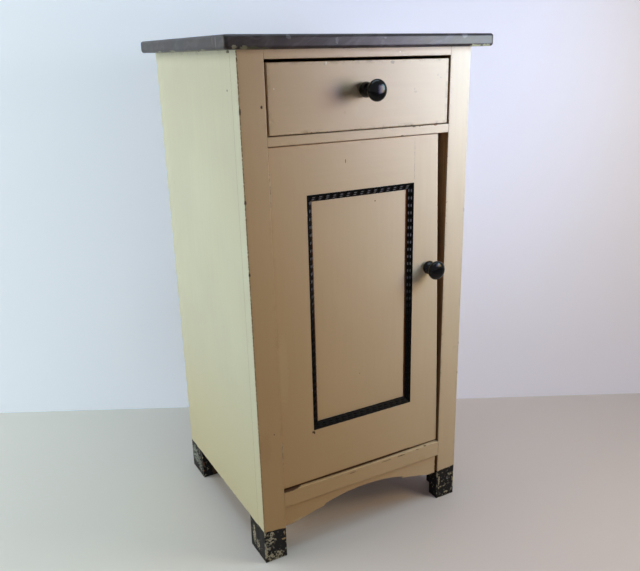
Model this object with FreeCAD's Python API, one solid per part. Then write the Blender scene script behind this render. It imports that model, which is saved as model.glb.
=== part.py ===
import FreeCAD, Part
import math
import os

# Small painted cupboard with one drawer over one door, built as separate boards.
# Millimetres, +Z up, +X to the right as seen from the front, the front faces -Y.
# The origin lies on the floor, under the middle of the whole object's box.
# Depths are counted back from the front plane, which is the face of the front stiles.

Vector = FreeCAD.Vector
ACROSS = Vector(1, 0, 0)
BACKWARD = Vector(0, 1, 0)
UP = Vector(0, 0, 1)

# ---------------------------------------------------------------- driving sizes
# case
CASE_WIDTH = 400.0
CASE_DEPTH = 366.0
CASE_HEIGHT = 822.0          # floor to the underside of the top slab
SIDE_THICK = 19.0
STILE_WIDTH = 40.0
STILE_THICK = 24.0
BACK_THICK = 12.0
BACK_REBATE = 9.0            # how far the back boards lap the side boards
BACK_LAP = 8.0               # half-lap between neighbouring back boards
BACK_BOARD_GAP = 0.8
HOUSING_DEPTH = 5.0          # dust board let into the side boards
ARRIS_ROUND = 1.2            # softened edges of the painted boards

# top slab
SLAB_THICK = 19.0
SLAB_SIDE_OVERHANG = 25.5
SLAB_FRONT_OVERHANG = 25.0
SLAB_CORNER_ROUND = 6.0
SLAB_EDGE_ROUND = 4.5

# feet, all cut from the side boards and stiles
FOOT_HEIGHT = 60.0
FRONT_FOOT_DEPTH = 60.0
REAR_FOOT_DEPTH = 62.0
FOOT_BLOCK_WIDTH = 25.0      # block glued inside each rear foot
CUTOUT_CORNER_ROUND = 4.0

# front frame
TOP_RAIL_HEIGHT = 12.5
DRAWER_OPENING_HEIGHT = 104.2
DIVIDER_THICK = 13.5
BOTTOM_RAIL_TOP = 124.5
BOTTOM_RAIL_HEIGHT = 29.5
RAIL_TENON_LENGTH = 16.0
RAIL_TENON_THICK = 8.0

# apron under the bottom rail
APRON_THICK = 16.0
APRON_RECESS = 4.0
APRON_END_GAP = 3.0          # open joint at its right-hand end
APRON_END_DROP = 38.0        # depth of the apron at its ends
APRON_ARCH_DROP = 11.0       # depth of the apron under the crown of the arch
APRON_FOOT_LENGTH = 20.0     # straight stretch beside each stile
APRON_ARCH_HALF = 82.0       # half width of the middle arch
APRON_STEP = 3.0             # small shoulder where the arch meets the ramps
APRON_SPRING_DROP = 22.0     # depth of the apron where the arch springs
APRON_BOW = 0.8              # how far each ramp bows up from straight

# inside of the case
KICKER_WIDTH = 33.0
TOP_BACK_RAIL_HEIGHT = 35.0
TOP_BACK_RAIL_THICK = 18.0
FLOOR_THICK = 18.0
FLOOR_RISE = 12.0            # floor board above the bottom rail, as a door stop
FLOOR_CLEAT_WIDTH = 18.0
FLOOR_CLEAT_HEIGHT = 20.0
SHELF_THICK = 14.0
SHELF_RISE = 255.5           # above the cupboard's floor
SHELF_SETBACK = 44.0
SHELF_END_GAP = 1.0
SHELF_CLEAT_WIDTH = 12.0
SHELF_CLEAT_HEIGHT = 16.0
DOOR_STOP_SECTION = 12.0
GUIDE_HEIGHT = 16.0

# drawer
DRAWER_RECESS = 0.5
DRAWER_GAP_LEFT = 3.2
DRAWER_GAP_RIGHT = 3.2
DRAWER_GAP_TOP = 4.2
DRAWER_GAP_BOTTOM = 1.5
DRAWER_FRONT_THICK = 20.0
DRAWER_SIDE_THICK = 11.0
DRAWER_END_CLEARANCE = 5.5   # in front of the top back rail
DRAWER_SIDE_DROP = 6.0       # sides stand this far below the front's top edge
DRAWER_BACK_THICK = 11.0
DRAWER_BACK_DROP = 7.0
DRAWER_BOTTOM_THICK = 5.0
DRAWER_BOTTOM_LIFT = 8.0
DRAWER_GROOVE_DEPTH = 5.0
RUNNING_CLEARANCE = 0.3
SIDE_CLEARANCE = 0.5
GROOVE_CLEARANCE = 0.2
TAIL_COUNT = 3
TAIL_LENGTH = 13.0
TAIL_NARROW = 13.0
TAIL_WIDE = 18.0
STOP_BLOCK_WIDTH = 30.0
STOP_BLOCK_HEIGHT = 5.0
STOP_BLOCK_DEPTH = 18.0
STOP_BLOCK_PLACE = 95.0      # from the middle to the block's inner end

# door
DOOR_THICK = 18.0
DOOR_RECESS = 5.0
DOOR_GAP_HINGE = 1.5
DOOR_GAP_TOP = 1.5
DOOR_GAP_BOTTOM = 3.5
DOOR_GAP_LATCH_LOW = 1.5     # the latch edge is planed to a taper
DOOR_GAP_LATCH_HIGH = 13.0
DOOR_TAPER_RISE = 22.3       # from the door's bottom up to the start of the taper
LATCH_ARRIS_ROUND = 8.0      # softened front arris at the top of the taper
HINGE_STILE_WIDTH = 60.0
LATCH_STILE_WIDTH = 61.0     # at the bottom, before the taper
DOOR_TOP_RAIL = 74.3
DOOR_BOTTOM_RAIL = 93.7
DOOR_TENON_LENGTH = 30.0
DOOR_TENON_SHOULDER = 12.0
PANEL_THICK = 6.0
PANEL_SINK = 7.0             # panel face below the face of the door frame
PANEL_GROOVE = 8.0
PANEL_TONGUE = 7.0

# reeded and notched moulding round the panel
MOULDING_WIDTH = 10.5
MOULDING_PROUD = 1.2
MOULDING_FILLET = 1.0        # plain outer edge beside the door's frame
MOULDING_SLOPE = 2.5         # width of the plain slope down to the panel
REED_COUNT = 2
REED_CREST = 1.8             # flat crest on each reed
REED_VALLEY_DEPTH = 1.3
NOTCH_PITCH = 11.2
NOTCH_WIDTH = 3.0
NOTCH_DEPTH = 2.0

# butt hinges, let into the stile and into the door's edge
HINGE_HEIGHT = 50.0
HINGE_END_DISTANCE = 62.0    # hinge centre from the door's top and bottom
HINGE_LEAF_THICK = 1.2
HINGE_LEAF_DEPTH = 15.0      # back edge of the leaves behind the pin's axis
HINGE_KNUCKLE_RADIUS = 2.0
HINGE_PIN_RADIUS = 0.95
HINGE_PIN_CLEARANCE = 0.05
HINGE_PIN_HEAD = 1.2
HINGE_PIN_HEAD_RADIUS = 1.8
HINGE_AXIS_LEAD = 1.0        # pin axis in front of the door's face
HINGE_RELIEF = 0.3
HINGE_KNUCKLES = 3
KNUCKLE_GAP = 0.2
HINGE_SCREW_COUNT = 3
HINGE_SCREW_RADIUS = 1.3
HINGE_SCREW_HEAD = 2.3
HINGE_SCREW_LENGTH = 13.0
SCREW_CLEARANCE = 0.05

# turned knobs
KNOB_BASE_RADIUS = 7.6
KNOB_COLLAR_RADIUS = 11.6
KNOB_COLLAR_AT = 6.3         # widest place of the collar, out from the seat
KNOB_COLLAR_SHARE = 0.38     # end of the collar, as a share of the way to the head's middle
KNOB_NECK_RADIUS = 7.4
KNOB_NECK_SHARE = 0.59
KNOB_HEAD_RADIUS = 16.0
KNOB_HEAD_REAR = 10.0        # half-thickness of the head behind its middle
KNOB_HEAD_FRONT = 8.0
KNOB_LENGTH = 44.0           # the drawer's knob
DOOR_KNOB_LENGTH = 35.0      # the door's knob is shorter
KNOB_TURN_GAP = 0.3          # behind the door's knob, which turns
DRAWER_KNOB_DROP = 41.3      # below the top edge of the drawer's front
KNOB_SCREW_RADIUS = 2.2
KNOB_SCREW_HEAD_RADIUS = 4.2
KNOB_SCREW_HEAD_THICK = 2.4
KNOB_SCREW_BITE = 18.0

# turn latch behind the door
LATCH_DROP = 220.3           # knob axis below the door's top
LATCH_FROM_EDGE = 31.5       # knob axis from the door's lower latch corner
SPINDLE_RADIUS = 4.5
SPINDLE_CLEARANCE = 0.08
WASHER_RADIUS = 8.5
WASHER_THICK = 1.4
FINGER_THICK = 8.0
FINGER_WIDTH = 16.0
FINGER_REACH = 46.0
FINGER_STILE_GAP = 0.9
SPINDLE_STANDOUT = 1.2
LATCH_PIN_RADIUS = 1.0
LATCH_PIN_STANDOUT = 1.0

# slab screws and back nails
SLAB_SCREW_RADIUS = 2.0
SLAB_SCREW_HEAD_RADIUS = 4.0
SLAB_SCREW_HEAD_THICK = 3.0
SLAB_SCREW_COVER = 5.0       # wood left over a screw's tip
SLAB_SCREW_END = 40.0
NAIL_RADIUS = 0.9
NAIL_HEAD_RADIUS = 2.2
NAIL_HEAD_THICK = 1.0
NAIL_BITE = 14.0
NAIL_ROWS = 5
NAIL_END_DISTANCE = 40.0
NAILS_PER_BOARD = 2
NAIL_SPREAD = 38.0           # between two nails side by side in one board

# ---------------------------------------------------------------- worked-out places
HALF_WIDTH = CASE_WIDTH / 2.0
OPENING_X = HALF_WIDTH - STILE_WIDTH
SIDE_INNER_X = HALF_WIDTH - SIDE_THICK
BACK_INNER = CASE_DEPTH - BACK_THICK
REAR_FOOT_FRONT = CASE_DEPTH - REAR_FOOT_DEPTH
TOP_RAIL_UNDERSIDE = CASE_HEIGHT - TOP_RAIL_HEIGHT
DRAWER_FLOOR = TOP_RAIL_UNDERSIDE - DRAWER_OPENING_HEIGHT
DIVIDER_UNDERSIDE = DRAWER_FLOOR - DIVIDER_THICK
BOTTOM_RAIL_UNDERSIDE = BOTTOM_RAIL_TOP - BOTTOM_RAIL_HEIGHT
FLOOR_TOP = BOTTOM_RAIL_TOP + FLOOR_RISE
FLOOR_UNDERSIDE = FLOOR_TOP - FLOOR_THICK
FOOT_BLOCK_TOP = FLOOR_UNDERSIDE - FLOOR_CLEAT_HEIGHT
SHELF_UNDERSIDE = FLOOR_TOP + SHELF_RISE
TOP_BACK_RAIL_FRONT = BACK_INNER - TOP_BACK_RAIL_THICK
FRONT_Y = -(CASE_DEPTH + DRAWER_RECESS - KNOB_LENGTH) / 2.0

DRAWER_LEFT_X = -OPENING_X + DRAWER_GAP_LEFT
DRAWER_RIGHT_X = OPENING_X - DRAWER_GAP_RIGHT
DRAWER_MIDDLE_X = (DRAWER_LEFT_X + DRAWER_RIGHT_X) / 2.0
DRAWER_FRONT_BOTTOM = DRAWER_FLOOR + DRAWER_GAP_BOTTOM
DRAWER_FRONT_TOP = TOP_RAIL_UNDERSIDE - DRAWER_GAP_TOP
DRAWER_KNOB_HEIGHT = DRAWER_FRONT_TOP - DRAWER_KNOB_DROP
DRAWER_SIDE_BOTTOM = DRAWER_FLOOR + RUNNING_CLEARANCE
DRAWER_SIDE_TOP = DRAWER_FRONT_TOP - DRAWER_SIDE_DROP
DRAWER_FRONT_INNER = DRAWER_RECESS + DRAWER_FRONT_THICK
DRAWER_END = TOP_BACK_RAIL_FRONT - DRAWER_END_CLEARANCE
DRAWER_BOTTOM_Z = DRAWER_FLOOR + DRAWER_BOTTOM_LIFT

DOOR_LEFT_X = -OPENING_X + DOOR_GAP_HINGE
DOOR_LOW_RIGHT_X = OPENING_X - DOOR_GAP_LATCH_LOW
DOOR_HIGH_RIGHT_X = OPENING_X - DOOR_GAP_LATCH_HIGH
DOOR_BOTTOM = BOTTOM_RAIL_TOP + DOOR_GAP_BOTTOM
DOOR_TOP = DIVIDER_UNDERSIDE - DOOR_GAP_TOP
DOOR_BACK = DOOR_RECESS + DOOR_THICK
PANEL_LEFT_X = DOOR_LEFT_X + HINGE_STILE_WIDTH
PANEL_RIGHT_X = DOOR_LOW_RIGHT_X - LATCH_STILE_WIDTH
PANEL_LOW_Z = DOOR_BOTTOM + DOOR_BOTTOM_RAIL
PANEL_HIGH_Z = DOOR_TOP - DOOR_TOP_RAIL
PANEL_FACE = DOOR_RECESS + PANEL_SINK
PANEL_BACK = PANEL_FACE + PANEL_THICK

DOOR_TAPER_START = DOOR_BOTTOM + DOOR_TAPER_RISE
HINGE_AXIS_X = -OPENING_X + DOOR_GAP_HINGE / 2.0
HINGE_AXIS_DEPTH = DOOR_RECESS - HINGE_AXIS_LEAD
HINGE_CENTRES = {
    "upper": DOOR_TOP - HINGE_END_DISTANCE,
    "lower": DOOR_BOTTOM + HINGE_END_DISTANCE,
}
LATCH_X = DOOR_LOW_RIGHT_X - LATCH_FROM_EDGE
LATCH_HEIGHT = DOOR_TOP - LATCH_DROP
FINGER_FRONT = STILE_THICK + FINGER_STILE_GAP
FINGER_BACK = FINGER_FRONT + FINGER_THICK


# ---------------------------------------------------------------- shape helpers
def board(x0, x1, depth0, depth1, z0, z1):
    """A plain board between two X values, two depths and two heights."""
    corner = Vector(x0, FRONT_Y + depth0, z0)
    return Part.makeBox(x1 - x0, depth1 - depth0, z1 - z0, corner)


def rod_back(x, z, radius, depth0, depth1):
    """A round bar that runs from front to back."""
    base = Vector(x, FRONT_Y + depth0, z)
    return Part.makeCylinder(radius, depth1 - depth0, base, Vector(0, 1, 0))


def rod_across(depth, z, radius, x0, x1):
    """A round bar that runs from left to right."""
    base = Vector(x0, FRONT_Y + depth, z)
    return Part.makeCylinder(radius, x1 - x0, base, Vector(1, 0, 0))


def rod_up(x, depth, radius, z0, z1):
    """An upright round bar."""
    base = Vector(x, FRONT_Y + depth, z0)
    return Part.makeCylinder(radius, z1 - z0, base, Vector(0, 0, 1))


def prism_back(points, depth0, depth1):
    """A solid with a straight-sided outline in X and Z, from one depth to another."""
    corners = [Vector(x, FRONT_Y + depth0, z) for x, z in points]
    outline = Part.makePolygon(corners + corners[:1])
    return Part.Face(outline).extrude(Vector(0, depth1 - depth0, 0))


def mirrored(shape):
    """The same shape on the other side of the middle plane."""
    return shape.mirror(Vector(0, 0, 0), Vector(1, 0, 0))


def for_side(shape, side):
    """A shape drawn on the left, placed on the side asked for."""
    if side == "right":
        return mirrored(shape)
    return shape


def near(value, target):
    """Whether two lengths agree to a hundredth of a millimetre."""
    return abs(value - target) < 0.01


def straight_edges(shape, along, wanted):
    """Edges that run along one direction and whose middle passes a test of x, depth and z."""
    chosen = []
    for edge in shape.Edges:
        ends = [vertex.Point for vertex in edge.Vertexes]
        if len(ends) != 2:
            continue
        middle = (ends[0] + ends[1]) * 0.5
        across = (ends[1] - ends[0]).cross(along).Length
        if near(across, 0.0) and wanted(middle.x, middle.y - FRONT_Y, middle.z):
            chosen.append(edge)
    return chosen


def round_edges(shape, radius, along, wanted):
    """Round the edges that straight_edges finds."""
    return shape.makeFillet(radius, straight_edges(shape, along, wanted))


def cut_all(shape, tools):
    """Cut several tools out of a shape in one step."""
    if not tools:
        return shape
    return shape.cut(Part.makeCompound(tools))


# ---------------------------------------------------------------- case fasteners
def slab_screw_places():
    """X and depth of the screws that hold the slab to the kickers."""
    inset = SIDE_INNER_X - KICKER_WIDTH / 2.0
    depths = (STILE_THICK + SLAB_SCREW_END, TOP_BACK_RAIL_FRONT - SLAB_SCREW_END)
    return [(side * inset, depth) for side in (-1, 1) for depth in depths]


def slab_screw(x, depth, spare):
    """One slab screw; spare widens it into the hole that it needs."""
    head_end = TOP_RAIL_UNDERSIDE + SLAB_SCREW_HEAD_THICK
    tip = CASE_HEIGHT + SLAB_THICK - SLAB_SCREW_COVER + spare
    head = rod_up(x, depth, SLAB_SCREW_HEAD_RADIUS + spare, TOP_RAIL_UNDERSIDE, head_end)
    shank = rod_up(x, depth, SLAB_SCREW_RADIUS + spare, TOP_RAIL_UNDERSIDE, tip)
    return head.fuse(shank)


def slab_screws(spare=0.0):
    """All slab screws."""
    return [slab_screw(x, depth, spare) for x, depth in slab_screw_places()]


def back_nail_places():
    """X and height of the nails through the back boards."""
    edge_x = SIDE_INNER_X + BACK_REBATE / 2.0
    low = FOOT_HEIGHT + NAIL_END_DISTANCE
    rise = (CASE_HEIGHT - NAIL_END_DISTANCE - low) / (NAIL_ROWS - 1)
    places = []
    for row in range(NAIL_ROWS):
        for side in (-1, 1):
            places.append((side * edge_x, low + row * rise))
    board_width = 2.0 * back_edge_x() / 3.0
    for height in (FLOOR_TOP - FLOOR_THICK / 2.0, DRAWER_FLOOR - DIVIDER_THICK / 2.0):
        for index in (-1, 0, 1):
            for step in range(NAILS_PER_BOARD):
                offset = (step - (NAILS_PER_BOARD - 1) / 2.0) * NAIL_SPREAD
                places.append((index * board_width + offset, height))
    return places


def back_nail(x, z, spare):
    """One nail, driven flush; spare widens it into its hole."""
    head_depth = CASE_DEPTH - NAIL_HEAD_THICK
    head = rod_back(x, z, NAIL_HEAD_RADIUS + spare, head_depth, CASE_DEPTH)
    shank = rod_back(x, z, NAIL_RADIUS + spare, BACK_INNER - NAIL_BITE - spare, head_depth)
    return head.fuse(shank)


def back_nails(spare=0.0):
    """All nails of the back."""
    return [back_nail(x, z, spare) for x, z in back_nail_places()]


# ---------------------------------------------------------------- case
def top_slab():
    """The painted top: a thick board with rounded corners and eased edges."""
    half = HALF_WIDTH + SLAB_SIDE_OVERHANG
    top = CASE_HEIGHT + SLAB_THICK
    slab = board(-half, half, -SLAB_FRONT_OVERHANG, CASE_DEPTH, CASE_HEIGHT, top)
    slab = round_edges(slab, SLAB_CORNER_ROUND, UP, lambda x, depth, z: True)
    level = [edge for edge in slab.Edges if near(edge.BoundBox.ZLength, 0.0)]
    slab = slab.makeFillet(SLAB_EDGE_ROUND, level)
    return cut_all(slab, slab_screws(SCREW_CLEARANCE))


def rail_tenon(side, z0, z1):
    """The stub tenon at one end of a front rail."""
    middle = STILE_THICK / 2.0
    half = RAIL_TENON_THICK / 2.0
    inset = min((z1 - z0) / 5.0, 4.0)
    tenon = board(-OPENING_X - RAIL_TENON_LENGTH, -OPENING_X, middle - half, middle + half,
                  z0 + inset, z1 - inset)
    return for_side(tenon, side)


def front_rail_levels():
    """Lowest and highest level of each rail of the front frame."""
    return {
        "top_front_rail": (TOP_RAIL_UNDERSIDE, CASE_HEIGHT),
        "drawer_divider_rail": (DIVIDER_UNDERSIDE, DRAWER_FLOOR),
        "bottom_front_rail": (BOTTOM_RAIL_UNDERSIDE, BOTTOM_RAIL_TOP),
    }


def front_rail(name):
    """A rail of the front frame with a tenon at each end."""
    z0, z1 = front_rail_levels()[name]
    rail = board(-OPENING_X, OPENING_X, 0.0, STILE_THICK, z0, z1)
    rail = round_edges(rail, ARRIS_ROUND, ACROSS,
                       lambda x, depth, z: near(depth, 0.0) and z < CASE_HEIGHT)
    return rail.fuse([rail_tenon(side, z0, z1) for side in ("left", "right")]).removeSplitter()


def front_stile(side):
    """A front stile: it runs to the floor and is the front of a foot."""
    stile = board(-HALF_WIDTH, -OPENING_X, 0.0, STILE_THICK, 0.0, CASE_HEIGHT)
    stile = round_edges(stile, ARRIS_ROUND, UP, lambda x, depth, z: near(depth, 0.0))
    stile = for_side(stile, side)
    cuts = [rail_tenon(side, z0, z1) for z0, z1 in front_rail_levels().values()]
    if side == "left":
        cuts += hinge_reliefs() + hinge_recesses(-OPENING_X - HINGE_LEAF_THICK)
        cuts += hinge_screws_case(SCREW_CLEARANCE)
    return cut_all(stile, cuts)


def side_board(side):
    """A side board with the cut-out that leaves its two feet."""
    plate = board(-HALF_WIDTH, -SIDE_INNER_X, STILE_THICK, CASE_DEPTH, 0.0, CASE_HEIGHT)
    gap = board(-HALF_WIDTH - 1.0, -SIDE_INNER_X + 1.0, FRONT_FOOT_DEPTH, REAR_FOOT_FRONT,
                -1.0, FOOT_HEIGHT)
    gap = round_edges(gap, CUTOUT_CORNER_ROUND, ACROSS, lambda x, depth, z: z > 0.0)
    rebate = board(-SIDE_INNER_X - BACK_REBATE, -SIDE_INNER_X, BACK_INNER, CASE_DEPTH,
                   FOOT_HEIGHT, CASE_HEIGHT)
    housing = board(-SIDE_INNER_X - HOUSING_DEPTH, -SIDE_INNER_X, STILE_THICK, BACK_INNER,
                    DIVIDER_UNDERSIDE, DRAWER_FLOOR)
    plate = round_edges(plate, ARRIS_ROUND, UP, lambda x, depth, z: near(x, -HALF_WIDTH)
                        and near(depth, CASE_DEPTH))
    plate = for_side(cut_all(plate, [gap, rebate, housing]), side)
    return cut_all(plate, back_nails(SCREW_CLEARANCE))


def apron():
    """The shaped apron: level ends, ramps and a middle arch with a small shoulder."""
    left = -OPENING_X
    right = OPENING_X - APRON_END_GAP
    front = FRONT_Y + APRON_RECESS
    top = BOTTOM_RAIL_UNDERSIDE
    low = top - APRON_END_DROP
    spring = top - APRON_SPRING_DROP
    ramp_x = OPENING_X - APRON_FOOT_LENGTH

    def at(x, z):
        return Vector(x, front, z)

    def ramp(side):
        start = at(side * ramp_x, low)
        end = at(side * APRON_ARCH_HALF, spring - APRON_STEP)
        middle = (start + end) * 0.5 + Vector(0, 0, APRON_BOW)
        return start, middle, end

    left_ramp = ramp(-1)
    right_ramp = ramp(1)
    crown = at(0.0, top - APRON_ARCH_DROP)
    shoulder_left = at(-APRON_ARCH_HALF, spring)
    shoulder_right = at(APRON_ARCH_HALF, spring)
    edges = [
        Part.makeLine(at(left, top), at(left, low)),
        Part.makeLine(at(left, low), left_ramp[0]),
        Part.Arc(*left_ramp).toShape(),
        Part.makeLine(left_ramp[2], shoulder_left),
        Part.Arc(shoulder_left, crown, shoulder_right).toShape(),
        Part.makeLine(shoulder_right, right_ramp[2]),
        Part.Arc(right_ramp[2], right_ramp[1], right_ramp[0]).toShape(),
        Part.makeLine(right_ramp[0], at(right, low)),
        Part.makeLine(at(right, low), at(right, top)),
        Part.makeLine(at(right, top), at(left, top)),
    ]
    outline = Part.Wire(edges)
    return Part.Face(outline).extrude(Vector(0, APRON_THICK, 0))


def dust_board():
    """The board under the drawer, housed in both side boards."""
    reach = SIDE_INNER_X + HOUSING_DEPTH
    plate = board(-reach, reach, STILE_THICK, BACK_INNER, DIVIDER_UNDERSIDE, DRAWER_FLOOR)
    return cut_all(plate, back_nails(SCREW_CLEARANCE))


def drawer_guide(side):
    """The strip that guides one side of the drawer."""
    if side == "left":
        x0 = -SIDE_INNER_X
        x1 = DRAWER_LEFT_X - SIDE_CLEARANCE
    else:
        x0 = DRAWER_RIGHT_X + SIDE_CLEARANCE
        x1 = SIDE_INNER_X
    return board(x0, x1, STILE_THICK, TOP_BACK_RAIL_FRONT, DRAWER_FLOOR,
                 DRAWER_FLOOR + GUIDE_HEIGHT)


def drawer_stops():
    """Two small blocks that stop the drawer's front."""
    front = DRAWER_FRONT_INNER + RUNNING_CLEARANCE
    block = board(-STOP_BLOCK_PLACE - STOP_BLOCK_WIDTH, -STOP_BLOCK_PLACE, front,
                  front + STOP_BLOCK_DEPTH, DRAWER_FLOOR, DRAWER_FLOOR + STOP_BLOCK_HEIGHT)
    return [block, mirrored(block)]


def top_kicker(side):
    """The strip over the drawer's side, which also carries the slab's screws."""
    strip = board(-SIDE_INNER_X, -SIDE_INNER_X + KICKER_WIDTH, STILE_THICK,
                  TOP_BACK_RAIL_FRONT, TOP_RAIL_UNDERSIDE, CASE_HEIGHT)
    return cut_all(for_side(strip, side), slab_screws(SCREW_CLEARANCE))


def top_back_rail():
    """The rail behind the drawer, under the slab."""
    rail = board(-SIDE_INNER_X, SIDE_INNER_X, TOP_BACK_RAIL_FRONT, BACK_INNER,
                 CASE_HEIGHT - TOP_BACK_RAIL_HEIGHT, CASE_HEIGHT)
    return cut_all(rail, back_nails(SCREW_CLEARANCE))


def cupboard_floor():
    """The floor of the cupboard; its front edge is the door's lower stop."""
    plate = board(-SIDE_INNER_X, SIDE_INNER_X, STILE_THICK, BACK_INNER,
                  FLOOR_UNDERSIDE, FLOOR_TOP)
    return cut_all(plate, back_nails(SCREW_CLEARANCE))


def floor_cleat(side):
    """A cleat under one end of the floor."""
    strip = board(-SIDE_INNER_X, -SIDE_INNER_X + FLOOR_CLEAT_WIDTH, STILE_THICK,
                  BACK_INNER, FOOT_BLOCK_TOP, FLOOR_UNDERSIDE)
    return for_side(strip, side)


def rear_foot_block(side):
    """The block that thickens a rear foot."""
    block = board(-SIDE_INNER_X, -SIDE_INNER_X + FOOT_BLOCK_WIDTH, REAR_FOOT_FRONT,
                  BACK_INNER, 0.0, FOOT_BLOCK_TOP)
    block = round_edges(block, ARRIS_ROUND, UP, lambda x, depth, z: x > -SIDE_INNER_X
                        and near(depth, REAR_FOOT_FRONT))
    return for_side(block, side)


def shelf():
    """The loose shelf of the cupboard."""
    half = SIDE_INNER_X - SHELF_END_GAP
    plate = board(-half, half, SHELF_SETBACK, BACK_INNER - SHELF_END_GAP,
                  SHELF_UNDERSIDE, SHELF_UNDERSIDE + SHELF_THICK)
    return round_edges(plate, ARRIS_ROUND, ACROSS,
                       lambda x, depth, z: near(depth, SHELF_SETBACK))


def shelf_cleat(side):
    """A cleat under one end of the shelf."""
    strip = board(-SIDE_INNER_X, -SIDE_INNER_X + SHELF_CLEAT_WIDTH, SHELF_SETBACK,
                  BACK_INNER, SHELF_UNDERSIDE - SHELF_CLEAT_HEIGHT, SHELF_UNDERSIDE)
    return for_side(strip, side)


def door_stop_strip():
    """The strip behind the door's top edge."""
    return board(-OPENING_X, OPENING_X, STILE_THICK, STILE_THICK + DOOR_STOP_SECTION,
                 DIVIDER_UNDERSIDE - DOOR_STOP_SECTION, DIVIDER_UNDERSIDE)


def back_edge_x():
    """How far the back boards reach from the middle."""
    return SIDE_INNER_X + BACK_REBATE


def back_board(place):
    """One of three upright back boards, half-lapped to its neighbours."""
    third = back_edge_x() / 3.0
    middle = BACK_INNER + BACK_THICK / 2.0
    if place == "middle":
        inner = board(-third, third, BACK_INNER, CASE_DEPTH, FOOT_HEIGHT, CASE_HEIGHT)
        laps = [for_side(board(-third - BACK_LAP, -third, BACK_INNER, middle,
                               FOOT_HEIGHT, CASE_HEIGHT), side) for side in ("left", "right")]
        plank = inner.fuse(laps).removeSplitter()
    else:
        start = third + BACK_BOARD_GAP
        plank = board(-back_edge_x(), -start, BACK_INNER, CASE_DEPTH, FOOT_HEIGHT, CASE_HEIGHT)
        lap = board(-third - BACK_LAP - BACK_BOARD_GAP, -start, BACK_INNER, middle,
                    FOOT_HEIGHT, CASE_HEIGHT)
        plank = for_side(plank.cut(lap), place)
    return cut_all(plank, back_nails(SCREW_CLEARANCE))


# ---------------------------------------------------------------- drawer
def tail_prisms(side):
    """The dovetails that join one drawer side to the front."""
    pitch = (DRAWER_SIDE_TOP - DRAWER_SIDE_BOTTOM) / TAIL_COUNT
    x0 = DRAWER_LEFT_X if side == "left" else DRAWER_RIGHT_X - DRAWER_SIDE_THICK
    shoulder = FRONT_Y + DRAWER_FRONT_INNER
    tip = shoulder - TAIL_LENGTH
    tails = []
    for index in range(TAIL_COUNT):
        z = DRAWER_SIDE_BOTTOM + (index + 0.5) * pitch
        corners = [
            Vector(x0, shoulder, z - TAIL_NARROW / 2.0),
            Vector(x0, shoulder, z + TAIL_NARROW / 2.0),
            Vector(x0, tip, z + TAIL_WIDE / 2.0),
            Vector(x0, tip, z - TAIL_WIDE / 2.0),
        ]
        outline = Part.makePolygon(corners + corners[:1])
        tails.append(Part.Face(outline).extrude(Vector(DRAWER_SIDE_THICK, 0, 0)))
    return tails


def drawer_bottom_plate(spare):
    """The drawer bottom, or with spare the grooves that it slides in."""
    tongue = DRAWER_GROOVE_DEPTH + spare
    left = DRAWER_LEFT_X + DRAWER_SIDE_THICK - tongue
    right = DRAWER_RIGHT_X - DRAWER_SIDE_THICK + tongue
    return board(left, right, DRAWER_FRONT_INNER - tongue, DRAWER_END + spare,
                 DRAWER_BOTTOM_Z - spare, DRAWER_BOTTOM_Z + DRAWER_BOTTOM_THICK + spare)


def drawer_back_plate(high):
    """The drawer back, or with a higher top the housings that it is slid into."""
    left = DRAWER_LEFT_X + DRAWER_SIDE_THICK - HOUSING_DEPTH
    right = DRAWER_RIGHT_X - DRAWER_SIDE_THICK + HOUSING_DEPTH
    low = DRAWER_BOTTOM_Z + DRAWER_BOTTOM_THICK + GROOVE_CLEARANCE
    end = DRAWER_END - DRAWER_SIDE_THICK
    return board(left, right, end - DRAWER_BACK_THICK, end, low, high)


def drawer_front():
    """The drawer front with dovetail sockets, a groove and the knob's screw hole."""
    plate = board(DRAWER_LEFT_X, DRAWER_RIGHT_X, DRAWER_RECESS, DRAWER_FRONT_INNER,
                  DRAWER_FRONT_BOTTOM, DRAWER_FRONT_TOP)
    for along in (ACROSS, UP):
        plate = round_edges(plate, ARRIS_ROUND, along,
                            lambda x, depth, z: near(depth, DRAWER_RECESS))
    hole = rod_back(DRAWER_MIDDLE_X, DRAWER_KNOB_HEIGHT, KNOB_SCREW_RADIUS + SCREW_CLEARANCE,
                    DRAWER_RECESS - 1.0, DRAWER_FRONT_INNER + 1.0)
    sockets = tail_prisms("left") + tail_prisms("right")
    return cut_all(plate, sockets + [hole, drawer_bottom_plate(GROOVE_CLEARANCE)])


def drawer_side(side):
    """A drawer side with its dovetails, its groove and the back's housing."""
    x0 = DRAWER_LEFT_X if side == "left" else DRAWER_RIGHT_X - DRAWER_SIDE_THICK
    plate = board(x0, x0 + DRAWER_SIDE_THICK, DRAWER_FRONT_INNER, DRAWER_END,
                  DRAWER_SIDE_BOTTOM, DRAWER_SIDE_TOP)
    plate = plate.fuse(tail_prisms(side)).removeSplitter()
    grooves = [drawer_bottom_plate(GROOVE_CLEARANCE), drawer_back_plate(CASE_HEIGHT)]
    return cut_all(plate, grooves)


def drawer_knob_screw(spare=0.0):
    """The screw that holds the drawer's knob from inside."""
    tip = DRAWER_RECESS - KNOB_SCREW_BITE - spare
    head_end = DRAWER_FRONT_INNER + KNOB_SCREW_HEAD_THICK
    shank = rod_back(DRAWER_MIDDLE_X, DRAWER_KNOB_HEIGHT, KNOB_SCREW_RADIUS + spare,
                     tip, DRAWER_FRONT_INNER)
    head = rod_back(DRAWER_MIDDLE_X, DRAWER_KNOB_HEIGHT, KNOB_SCREW_HEAD_RADIUS,
                    DRAWER_FRONT_INNER, head_end)
    return shank.fuse(head).removeSplitter()


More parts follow.
